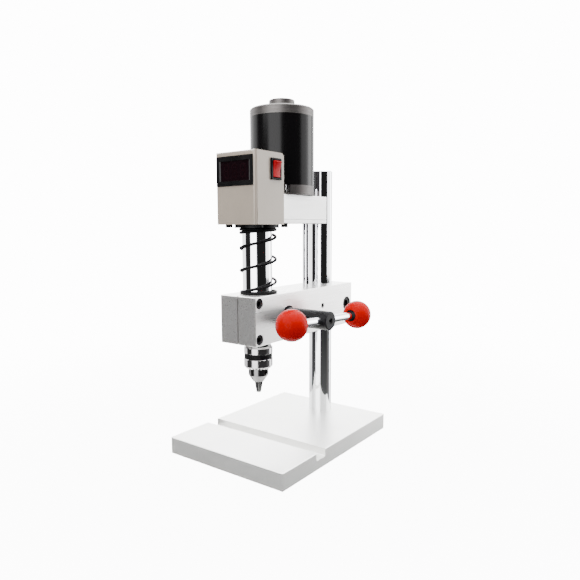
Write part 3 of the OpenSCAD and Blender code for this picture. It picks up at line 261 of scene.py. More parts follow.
def sprayed_paint(name, colour, roughness, gloss, grain_scale=1500.0, grain_depth=0.05 * MM):
    """Sprayed paint: a fine orange-peel surface and faint clouds of colour."""
    finish = Finish(name, specular_ior_level=gloss)
    clouds = finish.noise(22.0)
    peel = finish.noise(grain_scale, detail=3.0)
    finish.colours(clouds, shade(colour, 0.95), shade(colour, 1.04))
    finish.roughness(peel, roughness * 0.88, roughness * 1.12)
    finish.bump(peel, 0.3, grain_depth)
    return finish.material


def moulded_plastic(name, colour, roughness, gloss=0.5, grain_depth=0.03 * MM):
    """Moulded plastic: even colour with faint flow marks and a very fine grain."""
    finish = Finish(name, specular_ior_level=gloss)
    flow = finish.noise(60.0, (1, 1, 0.35))
    finish.colours(flow, shade(colour, 0.88), shade(colour, 1.1))
    finish.roughness(flow, roughness * 0.85, roughness * 1.15)
    finish.bump(finish.noise(2600.0, detail=2.0), 0.18, grain_depth)
    return finish.material


def polished_plastic(name, colour):
    """Cast and polished plastic: deep even colour, with a few rubbed places."""
    finish = Finish(name, specular_ior_level=0.03)
    rubbed = finish.noise(45.0, detail=3.0)
    finish.colours(rubbed, shade(colour, 0.96), shade(colour, 1.03))
    finish.roughness(rubbed, 0.20, 0.27)
    return finish.material


def tinted_window():
    """The meter's window: a near-black red filter with a few specks of dust."""
    finish = Finish("display_window", specular_ior_level=0.35)
    dust = finish.noise(500.0)
    finish.colours(dust, (0.005, 0.002, 0.003), (0.009, 0.003, 0.005))
    finish.roughness(dust, 0.08, 0.16)
    return finish.material


def circuit_board():
    """Green lacquer over a fine woven board."""
    finish = Finish("board_green")
    weave = finish.noise(1800.0, (1, 1, 0.2))
    finish.colours(weave, (0.004, 0.05, 0.015), (0.01, 0.10, 0.03))
    finish.roughness(weave, 0.3, 0.45)
    return finish.material


def wound_core():
    """Varnished laminations: fine stacked lines with a brown lacquer."""
    finish = Finish("winding_core", metallic=0.4)
    stack = finish.noise(300.0, (0.02, 0.02, 6.0))
    finish.colours(stack, (0.10, 0.035, 0.012), (0.24, 0.09, 0.03))
    finish.roughness(stack, 0.3, 0.5)
    finish.bump(stack, 0.3, 0.1 * MM)
    return finish.material


# Colours of the smaller pieces and of the works inside
MACHINED_STEEL = (0.62, 0.62, 0.63)
CHUCK_STEEL = (0.42, 0.41, 0.42)
# The chuck's nose is the chuck steel made darker: painted shade for the dark that the downward-facing cone
# mirrors
NOSE_STEEL_PAINTED_SHADE = (0.16, 0.157, 0.16)
JAW_STEEL = (0.10, 0.10, 0.10)
BEARING_BRONZE = (0.62, 0.36, 0.14)
COMMUTATOR_COPPER = (0.75, 0.35, 0.2)
MAGNET_GREY = (0.05, 0.05, 0.055)
BELT_BLACK = (0.012, 0.012, 0.012)
SWITCH_BLACK = (0.003, 0.003, 0.0035)
BEZEL_BLACK = (0.004, 0.004, 0.0045)
METER_BLACK = (0.006, 0.005, 0.006)
UNLIT_RED = (0.007, 0.0012, 0.0025)
PLASTIC_WHITE = (0.75, 0.75, 0.72)


def slot_finishes(colours):
    """One finish for each material slot of the record."""
    finishes = [
        brushed_metal("plate_aluminium", colours.plate, 0.40, (0.06, 1, 1), bump=0.18, metallic=0.7),
        brushed_metal("block_aluminium", colours.block, 0.31, (1, 0.03, 1), bump=0.012, metallic=0.88),
        brushed_metal("housing_aluminium", colours.housing, 0.42, (1, 0.05, 1), bump=0.02, metallic=0.45),
        turned_metal("polished_steel", colours.chrome, 0.05, QUILL_AXIS, scale=2600.0, bump=0.0),
        turned_metal("bright_steel", MACHINED_STEEL, 0.25, MOTOR_AXIS),
        turned_metal("chuck_steel", CHUCK_STEEL, 0.13, QUILL_AXIS, scale=2400.0, bump=0.05),
        turned_metal("cap_alloy", colours.alloy, 0.42, MOTOR_AXIS, scale=900.0, bump=0.5, metallic=0.75),
        turned_metal("bronze", BEARING_BRONZE, 0.32, QUILL_AXIS),
        turned_metal("commutator_copper", COMMUTATOR_COPPER, 0.3, MOTOR_AXIS),
        blackened_steel("black_steel", colours.black),
        sprayed_paint("box_paint", colours.paint, 0.30, gloss=0.40),
        sprayed_paint("can_enamel", colours.enamel, 0.20, 0.12, grain_scale=900.0, grain_depth=0.03 * MM),
        moulded_plastic("belt_rubber", BELT_BLACK, 0.75),
        moulded_plastic("black_plastic", SWITCH_BLACK, 0.36, gloss=0.08),
        moulded_plastic("digit_red", UNLIT_RED, 0.5, gloss=0.02),
        moulded_plastic("white_plastic", PLASTIC_WHITE, 0.45),
        moulded_plastic("magnet_ferrite", MAGNET_GREY, 0.7),
        polished_plastic("red_plastic", colours.ball),
        tinted_window(),
        circuit_board(),
        wound_core(),
    ]
    return {finish.name: finish for finish in finishes}


def node_finishes(colours):
    """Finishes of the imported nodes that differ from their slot's."""
    jaw = turned_metal("jaw_steel", JAW_STEEL, 0.22, QUILL_AXIS, scale=2400.0, bump=0.05)
    bar_axis = middle_of("handle_bar")
    return {
        "column": turned_metal("column_chrome", colours.chrome, 0.07, COLUMN_AXIS, scale=2200.0, bump=0.0),
        "handle_bar": turned_metal(
            "bar_chrome", colours.chrome, 0.08, bar_axis, axis=(0, 1, 0), scale=2200.0, bump=0.0
        ),
        "rocker_paddle": moulded_plastic(
            "paddle_red", colours.paddle, 0.30, gloss=0.06, grain_depth=0.005 * MM
        ),
        "rocker_frame": moulded_plastic("frame_black", SWITCH_BLACK, 0.45, gloss=0.06),
        "return_spring": blackened_steel("spring_black", shade(colours.black, 0.7), 0.5, gloss=0.05),
        "display_bezel": moulded_plastic("bezel_black", BEZEL_BLACK, 0.30, gloss=0.16),
        "display_board": moulded_plastic("meter_face", METER_BLACK, 0.5),
        # Painted shade: the nose is the sleeve's steel, darkened to stand for the dark it mirrors below
        "chuck_body": turned_metal("chuck_nose", NOSE_STEEL_PAINTED_SHADE, 0.14, QUILL_AXIS, scale=2400.0, bump=0.05),
        # Painted shade: the bronze bushes get the black steel finish, standing for the shadow on them at the
        # block's face
        "pinion_bushes": blackened_steel("bush_black", colours.black, 0.4),
        "pinion_shaft": blackened_steel("hub_black", shade(colours.black, 1.2), 0.40, gloss=0.07),
        "jaw_1": jaw,
        "jaw_2": jaw,
        "jaw_3": jaw,
    }


class FinishFrame(bpy.types.Operator):
    """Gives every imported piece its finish"""

    bl_idname = "bench_drill.finish_frame"
    bl_label = "Finish Packed Pieces"

    def execute(self, context):
        colours = context.scene.drill_colours
        for packed in {node.data.materials[0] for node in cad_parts.values()}:
            packed.name = "packed_" + packed.name
        by_slot = slot_finishes(colours)
        by_node = node_finishes(colours)
        for name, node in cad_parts.items():
            slot = node.data.materials[0].name.removeprefix("packed_")
            node.data.materials[0] = by_node.get(name, by_slot[slot])
        return {"FINISHED"}


# Meshes


def link_piece(name, mesh, material, body, stands_for=()):
    """Puts a finished mesh in the scene, on its body and in its material slot."""
    piece = bpy.data.objects.new(name, mesh)
    bpy.context.scene.collection.objects.link(piece)
    if not mesh.materials:
        mesh.materials.append(material)
    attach(piece, body)
    if stands_for:
        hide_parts(*stands_for)
    return piece


def plain_mesh(name, bm):
    """Turns an edit mesh into a mesh, and frees it."""
    mesh = bpy.data.meshes.new(name)
    bm.to_mesh(mesh)
    bm.free()
    return mesh


def smooth_mesh(name, bm, angle=35.0):
    """Merges a mesh's doubles, turns its faces outwards and shades it smooth up to an angle."""
    bmesh.ops.remove_doubles(bm, verts=bm.verts, dist=0.001 * MM)
    bmesh.ops.recalc_face_normals(bm, faces=bm.faces)
    mesh = plain_mesh(name, bm)
    mesh.shade_smooth()
    mesh.set_sharp_from_angle(angle=math.radians(angle))
    return mesh


def packed_copy(node, keep=None):
    """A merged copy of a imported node's mesh, or of those of its solids whose points are kept."""
    bm = bmesh.new()
    bm.from_mesh(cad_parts[node].data)
    if keep:
        bmesh.ops.delete(bm, geom=[v for v in bm.verts if not keep(v.co)], context="VERTS")
    for face in bm.faces:
        face.material_index = 0
    return smooth_mesh(node + "_copy", bm)


def box_mesh(low, high):
    """A plain block between two corners, to carve with."""
    bm = bmesh.new()
    bmesh.ops.create_cube(bm, size=1.0)
    low, high = Vector(low), Vector(high)
    for vert in bm.verts:
        vert.co = (low + high) / 2 + Vector(a * b for a, b in zip(vert.co, high - low))
    return plain_mesh("cutter", bm)


def join_rings(bm, rings):
    """Faces between each ring of points and the next one."""
    count = len(rings[0])
    for ring, following in zip(rings, rings[1:]):
        for i in range(count):
            j = (i + 1) % count
            bm.faces.new((ring[i], ring[j], following[j], following[i]))


def prism_mesh(rings):
    """An edit mesh through two rings of places, closed at both ends, with its faces outwards."""
    bm = bmesh.new()
    ends = [[bm.verts.new(place) for place in ring] for ring in rings]
    for end in ends:
        bm.faces.new(end)
    join_rings(bm, ends)
    bmesh.ops.recalc_face_normals(bm, faces=bm.faces)
    return bm


def carved(mesh, cutters, angle=35.0):
    """Cuts each cutter out of a mesh and returns the result."""
    target = bpy.data.objects.new("carved", mesh)
    bpy.context.scene.collection.objects.link(target)
    helpers = []
    for cutter in cutters:
        helper = bpy.data.objects.new("cutter", cutter)
        bpy.context.scene.collection.objects.link(helper)
        modifier = target.modifiers.new("cut", "BOOLEAN")
        modifier.operation = "DIFFERENCE"
        modifier.solver = "EXACT"
        modifier.object = helper
        helpers.append(helper)
    graph = bpy.context.evaluated_depsgraph_get()
    result = bpy.data.meshes.new_from_object(target.evaluated_get(graph), depsgraph=graph)
    for helper in helpers + [target]:
        bpy.data.objects.remove(helper)
    result.materials.clear()
    result.shade_smooth()
    result.set_sharp_from_angle(angle=math.radians(angle))
    return result


def lathe(bm, outline, centre, segments, relief):
    """Spins a closed outline of (radius, height) about the vertical through a centre."""
    rings = []
    for radius, height in outline:
        ring = []
        for i in range(segments):
            angle = TURN * i / segments
            r = relief(angle, radius, height)
            place = (centre.x + r * math.cos(angle), centre.y + r * math.sin(angle), height)
            ring.append(bm.verts.new(place))
        rings.append(ring)
    join_rings(bm, rings + [rings[0]])


def steps(start, end, count):
    """Evenly spaced values from start to end, both included."""
    return [start + (end - start) * i / count for i in range(count + 1)]


def evaluated_mesh(tree, settings, name, source=None):
    """Runs a Geometry Nodes tree once and returns its result as a plain mesh."""
    holder = bpy.data.objects.new(name, source or bpy.data.meshes.new(name))
    bpy.context.scene.collection.objects.link(holder)
    modifier = holder.modifiers.new(name, "NODES")
    modifier.node_group = tree
    sockets = {item.name: item.identifier for item in tree.interface.items_tree if item.in_out == "INPUT"}
    for key, value in settings.items():
        modifier[sockets[key]] = value
    graph = bpy.context.evaluated_depsgraph_get()
    mesh = bpy.data.meshes.new_from_object(holder.evaluated_get(graph), depsgraph=graph)
    mesh.name = name
    bpy.data.objects.remove(holder)
    return mesh


class GeometryTree(Tree):
    """A Geometry Nodes tree with named inputs, which ends in real and painted faces."""

    def __init__(self, name, inputs):
        super().__init__(bpy.data.node_groups.new(name, "GeometryNodeTree"))
        for key, kind in {"Geometry": "Geometry", **inputs, "Material": "Material"}.items():
            self.tree.interface.new_socket(key, in_out="INPUT", socket_type="NodeSocket" + kind)
        self.tree.interface.new_socket("Geometry", in_out="OUTPUT", socket_type="NodeSocketGeometry")
        self.value = self.tree.nodes.new("NodeGroupInput").outputs

    def combine(self, **parts):
        """A vector from its X, Y and Z."""
        return self.add("ShaderNodeCombineXYZ", None, parts)

    def moved(self, geometry, offset):
        return self.add("GeometryNodeTransform", None, {"Geometry": geometry, "Translation": offset})

    def cylinder(self, vertices, radius, depth):
        sizes = {"Vertices": vertices, "Radius": radius, "Depth": depth}
        return self.add("GeometryNodeMeshCylinder", None, sizes).outputs[0]

    def finish(self, geometry):
        real = self.add("GeometryNodeRealizeInstances", None, {"Geometry": geometry})
        painted = self.add(
            "GeometryNodeSetMaterial", None, {"Geometry": real, "Material": self.value["Material"]}
        )
        self.plug(painted, self.tree.nodes.new("NodeGroupOutput").inputs[0])
        return self.tree


# Return spring

SPRING_FLAT_TURNS = 1.0
SPRING_TOP_TURNS = 1.0
# Bearing of the wire where it starts to rise from the block
SPRING_START = math.radians(-130)
# Gap between the last working coil and the flat turn under the flange
SPRING_END_GAP = 2.8 * MM
# How far the coil stands off the quill's axis
SPRING_LEAN = Vector((0.8, 0.6, 0)) * MM
# The solid's wire has six sides, so its box is this much narrower on each side than a round wire's
SPRING_FACET_GAP = 0.2 * MM
WIRE_RINGS_A_TURN = 72.0
WIRE_SIDES = 16


def spring_tree():
    """A coil from four stretches: flat on the block, evenly rising, closing up, and flat under the flange."""
    nodes = GeometryTree(
        "spring_coil",
        {
            "Coil Radius": "Float",
            "Wire Radius": "Float",
            "Centre": "Vector",
            "Flat Turns": "Float",
            "Working Turns": "Float",
            "Coil Rise": "Float",
            "Closing Rise": "Float",
            "Top Turns": "Float",
            "Start Angle": "Float",
        },
    )
    value = nodes.value
    ends = nodes.calc("ADD", nodes.calc("ADD", value["Flat Turns"], value["Top Turns"]), 1.0)
    turns = nodes.calc("ADD", ends, value["Working Turns"])
    line = nodes.add("GeometryNodeCurvePrimitiveLine")
    points = nodes.calc("MULTIPLY", turns, WIRE_RINGS_A_TURN)
    curve = nodes.add("GeometryNodeResampleCurve", None, {"Curve": line, "Count": points})
    turn = nodes.calc("MULTIPLY", nodes.add("GeometryNodeSplineParameter"), turns)
    worked = nodes.calc("SUBTRACT", turn, value["Flat Turns"])
    angle = nodes.calc("ADD", value["Start Angle"], nodes.calc("MULTIPLY", worked, TURN))
    rising = nodes.calc("MINIMUM", nodes.calc("MAXIMUM", worked, 0.0), value["Working Turns"])
    closing = nodes.calc("MAXIMUM", nodes.calc("SUBTRACT", worked, value["Working Turns"]), 0.0)
    closing = nodes.calc("MINIMUM", closing, 1.0)
    height = nodes.calc(
        "ADD",
        nodes.calc("MULTIPLY", rising, value["Coil Rise"]),
        nodes.calc("MULTIPLY", closing, value["Closing Rise"]),
    )
    x = nodes.calc("MULTIPLY", nodes.calc("COSINE", angle), value["Coil Radius"])
    y = nodes.calc("MULTIPLY", nodes.calc("SINE", angle), value["Coil Radius"])
    position = nodes.vector("ADD", nodes.combine(X=x, Y=y, Z=height), value["Centre"])
    coil = nodes.add("GeometryNodeSetPosition", None, {"Geometry": curve, "Position": position})
    section = nodes.add(
        "GeometryNodeCurvePrimitiveCircle", None, {"Resolution": WIRE_SIDES, "Radius": value["Wire Radius"]}
    )
    wire = nodes.add(
        "GeometryNodeCurveToMesh", None, {"Curve": coil, "Profile Curve": section, "Fill Caps": True}
    )
    return nodes.finish(wire)


class AddSpring(bpy.types.Operator):
    """Winds the return spring between the head block and the flange"""

    bl_idname = "bench_drill.add_spring"
    bl_label = "Add Return Spring"

    def execute(self, context):
        sizes = context.scene.drill_sizes
        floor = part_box("head_block")[1].z
        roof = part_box("quill_flange")[0].z
        height = roof - floor
        wire_r = sizes.wire / 2
        closing = sizes.wire + SPRING_END_GAP
        centre = Vector((QUILL_AXIS.x, QUILL_AXIS.y, floor + wire_r)) + SPRING_LEAN
        mesh = evaluated_mesh(
            spring_tree(),
            {
                "Coil Radius": size_of("return_spring").x / 2 - wire_r + SPRING_FACET_GAP,
                "Wire Radius": wire_r,
                "Centre": centre,
                "Flat Turns": SPRING_FLAT_TURNS,
                "Working Turns": (height - sizes.wire - closing) / sizes.coil_rise,
                "Coil Rise": sizes.coil_rise,
                "Closing Rise": closing,
                "Top Turns": SPRING_TOP_TURNS,
                "Start Angle": SPRING_START,
                "Material": bpy.data.materials["spring_black"],
            },
            "spring_wire",
        )
        mesh.shade_smooth()
        mesh.set_sharp_from_angle(angle=math.radians(50))
        spring = link_piece("spring_wire", mesh, None, "head", ["return_spring"])
        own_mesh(spring)
        return {"FINISHED"}


# Screws


class Screw(NamedTuple):
    """Sizes of one kind of screw: a fluted round head with a hexagon socket, and a plain shank."""

    head_d: float
    head_h: float
    shank_d: float
    socket_d: float


COVER_SCREW = Screw(head_d=7 * MM, head_h=4 * MM, shank_d=4 * MM, socket_d=3.5 * MM)
QUILL_CLAMP_SCREW = Screw(head_d=10 * MM, head_h=6 * MM, shank_d=6 * MM, socket_d=5.8 * MM)
COLUMN_CLAMP_SCREW = Screw(head_d=16 * MM, head_h=10 * MM, shank_d=10 * MM, socket_d=9.2 * MM)
ROD_SET_SCREW = Screw(head_d=6 * MM, head_h=14 * MM, shank_d=4.6 * MM, socket_d=3.4 * MM)
COVER_SCREW_SHANK = 16 * MM
ROD_SET_SCREW_DEPTH = 1 * MM
ROD_SET_SCREW_POINT = 2 * MM
# Share of the head's radius that a flute goes in, and share of its height that the socket goes in
FLUTE_DEPTH = 0.035
SOCKET_DEPTH = 0.55
SHANK_SIDES = 32
INTO_BLOCK = (-1, 0, 0)


def screw_tree():
    """Screws on the points of a mesh, each with its head's underside on the point."""
    nodes = GeometryTree(
        "socket_screws",
        {
            "Driven Along": "Vector",
            "Head Radius": "Float",
            "Head Height": "Float",
            "Shank Radius": "Float",
            "Shank Length": "Float",
            "Socket Radius": "Float",
            "Flutes": "Int",
        },
    )
    value = nodes.value
    height = value["Head Height"]
    head = nodes.cylinder(nodes.calc("MULTIPLY", value["Flutes"], 2.0), value["Head Radius"], height)
    odd = nodes.calc("MODULO", nodes.add("GeometryNodeInputIndex"), 2.0)
    inward = nodes.calc("MULTIPLY", odd, -FLUTE_DEPTH)
    place = nodes.add("ShaderNodeSeparateXYZ", None, {0: nodes.add("GeometryNodeInputPosition")}).outputs
    pull = nodes.combine(
        X=nodes.calc("MULTIPLY", place["X"], inward), Y=nodes.calc("MULTIPLY", place["Y"], inward)
    )
    fluted = nodes.add("GeometryNodeSetPosition", None, {"Geometry": head, "Offset": pull})
    placed = nodes.moved(fluted, nodes.combine(Z=nodes.calc("MULTIPLY", height, -0.5)))
    socket = nodes.cylinder(6, value["Socket Radius"], height)
    cutter = nodes.moved(socket, nodes.combine(Z=nodes.calc("MULTIPLY", height, SOCKET_DEPTH - 1.5)))
    cut = nodes.add("GeometryNodeMeshBoolean", {"operation": "DIFFERENCE"}, {0: placed, 1: cutter})
    shank = nodes.cylinder(SHANK_SIDES, value["Shank Radius"], value["Shank Length"])
    body = nodes.moved(shank, nodes.combine(Z=nodes.calc("MULTIPLY", value["Shank Length"], 0.5)))
    joined = nodes.add("GeometryNodeJoinGeometry")
    for part in (cut, body):
        nodes.plug(part, joined.inputs[0])
    along = value["Driven Along"]
    turned = nodes.add("FunctionNodeAlignRotationToVector", {"axis": "Z"}, {"Vector": along})
    points = nodes.add("GeometryNodeMeshToPoints", None, {"Mesh": value["Geometry"]})
    screws = nodes.add(
        "GeometryNodeInstanceOnPoints", None, {"Points": points, "Instance": joined, "Rotation": turned}
    )
    return nodes.finish(screws)


class AddScrews(bpy.types.Operator):
    """Puts fluted socket-head screws in the belt housing and the head block"""

    bl_idname = "bench_drill.add_screws"
    bl_label = "Add Screws"

    def execute(self, context):
        tree = screw_tree()
        flutes = context.scene.drill_sizes.flutes
        material = bpy.data.materials["black_steel"]

        def place(name, node, body, places, along, screw, shank_length):
            points = bpy.data.meshes.new(name + "_points")
            points.from_pydata(places, [], [])
            settings = {
                "Driven Along": along,
                "Head Radius": screw.head_d / 2,
                "Head Height": screw.head_h,
                "Shank Radius": screw.shank_d / 2,
                "Shank Length": shank_length,
                "Socket Radius": screw.socket_d / 2,
                "Flutes": flutes,
                "Material": material,
            }
            mesh = evaluated_mesh(tree, settings, name, points)
            mesh.set_sharp_from_angle(angle=math.radians(30))
            link_piece(name, mesh, None, body, [node])

        screw = QUILL_CLAMP_SCREW
        low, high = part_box("quill_clamp_screws")
        heights = (low.z + screw.head_d / 2, high.z - screw.head_d / 2)
        heads = [(high.x - screw.head_h, (low.y + high.y) / 2, z) for z in heights]
        length = high.x - low.x - screw.head_h
        place("block_front_screws", "quill_clamp_screws", "head", heads, INTO_BLOCK, screw, length)

        screw = COLUMN_CLAMP_SCREW
        low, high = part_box("column_clamp_screw")
        heads = [(high.x - screw.head_h, (low.y + high.y) / 2, (low.z + high.z) / 2)]
        length = high.x - low.x - screw.head_h
        place("block_rear_screw", "column_clamp_screw", "head", heads, INTO_BLOCK, screw, length)

        screw = ROD_SET_SCREW
        low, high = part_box("rod_grub_screw")
        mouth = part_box("head_block")[1].x - ROD_SET_SCREW_DEPTH
        heads = [(mouth - screw.head_h, (low.y + high.y) / 2, (low.z + high.z) / 2)]
        length = high.x - low.x - ROD_SET_SCREW_POINT
        place("rod_set_screw", "rod_grub_screw", "head", heads, INTO_BLOCK, screw, length)

        screw = COVER_SCREW
        low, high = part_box("cover_screws")
        side = high.x - screw.head_d / 2
        reach = QUILL_AXIS.y - low.y - screw.head_d / 2
        underside = low.z + screw.head_h
        heads = [(x, QUILL_AXIS.y + y, underside) for x in (-side, side) for y in (-reach, reach)]
        place("cover_corner_screws", "cover_screws", "quill", heads, UP, screw, COVER_SCREW_SHANK)

        behind = QUILL_AXIS.y + 2 * reach
        sunk = packed_copy("cover_screws", lambda point: point.y > behind)
        link_piece("cover_sunk_screws", sunk, material, "quill")
        return {"FINISHED"}


# Chuck sleeve

# Heights above the sleeve's lower end
TEETH_HEIGHT = 2.4 * MM
LIP_HEIGHT = 4 * MM
BAND_LOW = 10.3 * MM
BAND_HIGH = 15.9 * MM
# Radial sizes: from the chuck body's outside in to the lip's bore, and the wall above the lip
LIP_INSET = 3.46 * MM
SLEEVE_WALL = 2.5 * MM
FOOT_CHAMFER = 2 * MM
TOP_CHAMFER = 1.6 * MM
BAND_EDGE = 0.35 * MM
BAND_ROWS = 20
FOOT_ROWS = 6
POINTS_A_DIAMOND = 4


class AddSleeve(bpy.types.Operator):
    """Turns the chuck's sleeve, with its knurled band and its teeth for the key"""

    bl_idname = "bench_drill.add_sleeve"
    bl_label = "Add Chuck Sleeve"

    def execute(self, context):
        sizes = context.scene.drill_sizes
        low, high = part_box("chuck_sleeve")
        foot, top = low.z, high.z
        r = (high.x - low.x) / 2
        lip_r = size_of("chuck_body").x / 2 - LIP_INSET
        bore_r = r - SLEEVE_WALL
        band = (foot + BAND_LOW, foot + BAND_HIGH)
        lip = foot + LIP_HEIGHT
        diamonds = round(TURN * r / sizes.knurl_pitch / 2) * 2
        outline = [(lip_r, foot)]
        for t in steps(0, 1, FOOT_ROWS):
            outline.append((r - FOOT_CHAMFER + FOOT_CHAMFER * t, foot + TEETH_HEIGHT * t))
        outline += [(r, band[0] - BAND_EDGE), (r - BAND_EDGE, band[0])]
        outline += [(r - BAND_EDGE, z) for z in steps(band[0], band[1], BAND_ROWS)]
        outline += [(r - BAND_EDGE, band[1]), (r, band[1] + BAND_EDGE), (r, top - TOP_CHAMFER)]
        outline += [(r - TOP_CHAMFER, top), (bore_r, top), (bore_r, lip), (lip_r, lip)]

        def relief(angle, radius, height):
            """The radius with the knurl or the key teeth cut into it."""
            if radius <= bore_r:
                return radius
            if band[0] < height < band[1]:
                across = angle * diamonds / 2
                up = (height - band[0]) / sizes.knurl_pitch * math.pi
                ridge = abs(math.sin(across + up)) * abs(math.sin(across - up))
                return radius - sizes.knurl_depth * (1 - ridge)
            if height < foot + TEETH_HEIGHT:
                wave = 0.5 + 0.5 * math.cos(angle * sizes.sleeve_teeth)
                steep_wave = min(1.0, max(0.0, 2.2 * wave - 0.6))
                fade = 1 - (height - foot) / TEETH_HEIGHT
                return radius - sizes.tooth_depth * fade * steep_wave
            return radius

        bm = bmesh.new()
        lathe(bm, outline, QUILL_AXIS, diamonds * POINTS_A_DIAMOND, relief)
        mesh = smooth_mesh("knurled_sleeve", bm, 32)
        mesh.materials.append(bpy.data.materials["chuck_steel"])
        mesh.materials.append(bpy.data.materials["black_steel"])
        for face in mesh.polygons:
            if band[0] < face.center.z < band[1]:
                radial = (face.center - QUILL_AXIS).to_2d().length
                face.material_index = int(radial > bore_r + MM)
        link_piece("knurled_sleeve", mesh, None, "chuck_sleeve", ["chuck_sleeve"])
        return {"FINISHED"}


# Control box

SEAM_BACK = 2.7 * MM
SEAM_WIDTH = 0.8 * MM
SEAM_DEPTH = 0.6 * MM
# How far a cutter reaches past the piece that it cuts
CUT_PAST = 5 * MM


class AddBox(bpy.types.Operator):
    """Parts the control box's front cover from its sides with a seam"""

    bl_idname = "bench_drill.add_box"
    bl_label = "Add Control Box"

    def execute(self, context):
        low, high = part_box("control_box")
        start = Vector((low.x - CUT_PAST, low.y + SEAM_BACK, low.z - CUT_PAST))
        end = Vector((high.x + CUT_PAST, low.y + SEAM_BACK + SEAM_WIDTH, high.z + CUT_PAST))
        cutters = [
            box_mesh((high.x - SEAM_DEPTH, start.y, start.z), end),
            box_mesh(start, (low.x + SEAM_DEPTH, end.y, end.z)),
            box_mesh((start.x, start.y, high.z - SEAM_DEPTH), end),
        ]
        mesh = carved(packed_copy("control_box"), cutters)
        paint = bpy.data.materials["box_paint"]
        link_piece("box_shell", mesh, paint, "quill", ["control_box"])
        return {"FINISHED"}


# Meter

# Border of the bezel round its opening
OPENING_MARGIN_X = 6.75 * MM
OPENING_MARGIN_Z = 5 * MM
# What is trimmed off the bezel's front, and the bevel round its opening
BEZEL_TRIM = 0.9 * MM
BEVEL_DEPTH = 1.5 * MM
BEVEL_X = 4.6 * MM
BEVEL_Z = 0.7 * MM
# How far the digits stand in front of the window
DIGITS_PROUD = 0.02 * MM


class AddMeter(bpy.types.Operator):
    """Bevels the meter's bezel and sets its digits in the window"""

    bl_idname = "bench_drill.add_meter"
    bl_label = "Add Meter"

    def execute(self, context):
        self.add_bezel()
        self.add_digits()
        return {"FINISHED"}

    def add_bezel(self):
        low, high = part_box("display_bezel")
        middle = (low + high) / 2
        half_x = (high.x - low.x) / 2 - OPENING_MARGIN_X
        half_z = (high.z - low.z) / 2 - OPENING_MARGIN_Z
        face = low.y + BEZEL_TRIM

        def opening(y, grow_x, grow_z):
            return [
                (middle.x + a * (half_x + grow_x), y, middle.z + b * (half_z + grow_z))
                for a, b in ((-1, -1), (1, -1), (1, 1), (-1, 1))
            ]

        front = box_mesh(
            (low.x - CUT_PAST, low.y - CUT_PAST, low.z - CUT_PAST),
            (high.x + CUT_PAST, face, high.z + CUT_PAST),
        )
        bevel = prism_mesh([opening(face - MM, BEVEL_X, BEVEL_Z), opening(face + BEVEL_DEPTH, 0.0, 0.0)])
        mesh = carved(packed_copy("display_bezel"), [front, plain_mesh("cutter", bevel)], 20.0)
        plastic = bpy.data.materials["bezel_black"]
        link_piece("meter_bezel", mesh, plastic, "quill", ["display_bezel"])

    def add_digits(self):
        window_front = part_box("display_window")[0].y
        digits_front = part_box("display_digits")[0].y
        mesh = packed_copy("display_digits")
        mesh.transform(Matrix.Translation((0, window_front - digits_front - DIGITS_PROUD, 0)))
        red = bpy.data.materials["digit_red"]
        link_piece("meter_digits", mesh, red, "quill", ["display_digits"])


# Rocker switch

# At rest the paddle is tilted by half of its swing, about a pivot just outside the box
PADDLE_TILT = math.radians(9)
PIVOT_PROUD = 0.6 * MM
# From the frame's outside to the paddle
PADDLE_SIDE_INSET = 2.6 * MM
PADDLE_END_INSET = 2.4 * MM
# Places out from the pivot: the paddle's middle, the added rise of its ends, its rim and its root
PADDLE_MIDDLE = 1.6 * MM
PADDLE_RISE = 1.3 * MM
PADDLE_RIM = 0.8 * MM
PADDLE_ROOT = -4 * MM
ROOT_HALF_HEIGHT = 4.5 * MM
# Power by which the rise grows from the middle to the ends
PADDLE_HOLLOW = 1.6
PADDLE_EDGE = 0.45 * MM
FACE_INSET = 0.3 * MM
FACE_ROWS = 24


class AddRocker(bpy.types.Operator):
    """Moulds the rocker switch's paddle with two hollow faces and soft edges"""

    bl_idname = "bench_drill.add_rocker"
    bl_label = "Add Rocker"

    def execute(self, context):
        middle = middle_of("rocker_frame")
        size = size_of("rocker_frame")
        pivot = Vector((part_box("control_box")[1].x + PIVOT_PROUD, middle.y, middle.z))
        half_w = size.y / 2 - PADDLE_SIDE_INSET
        half_h = size.z / 2 - PADDLE_END_INSET
        tilt = Matrix.Rotation(PADDLE_TILT, 3, "Y")
        outline = [(PADDLE_ROOT, -ROOT_HALF_HEIGHT), (PADDLE_RIM, -half_h)]
        for z in steps(-half_h + FACE_INSET, half_h - FACE_INSET, FACE_ROWS):
            outline.append((PADDLE_MIDDLE + PADDLE_RISE * (abs(z) / half_h) ** PADDLE_HOLLOW, z))
        outline += [(PADDLE_RIM, half_h), (PADDLE_ROOT, ROOT_HALF_HEIGHT)]
        bm = prism_mesh([[pivot + tilt @ Vector((x, y, z)) for x, z in outline] for y in (-half_w, half_w)])
        rim = [edge for edge in bm.edges if edge.calc_face_angle(0) > math.radians(60)]
        bmesh.ops.bevel(bm, geom=rim, offset=PADDLE_EDGE, segments=3, profile=0.5, affect="EDGES")
        mesh = smooth_mesh("rocker_cap", bm, 40)
        red = bpy.data.materials["paddle_red"]
        link_piece("rocker_cap", mesh, red, "rocker", ["rocker_paddle"])
        return {"FINISHED"}


# Stage

CAMERA_PLACE = (0.3633, -0.47565, 0.2397)
CAMERA_YAW = math.radians(36.6)
CAMERA_PITCH = math.radians(7.1)
CAMERA_ROLL = math.radians(0.2)
CAMERA_LENS = 34.03
CAMERA_SENSOR = 36.0
CAMERA_SHIFT = 0.0098

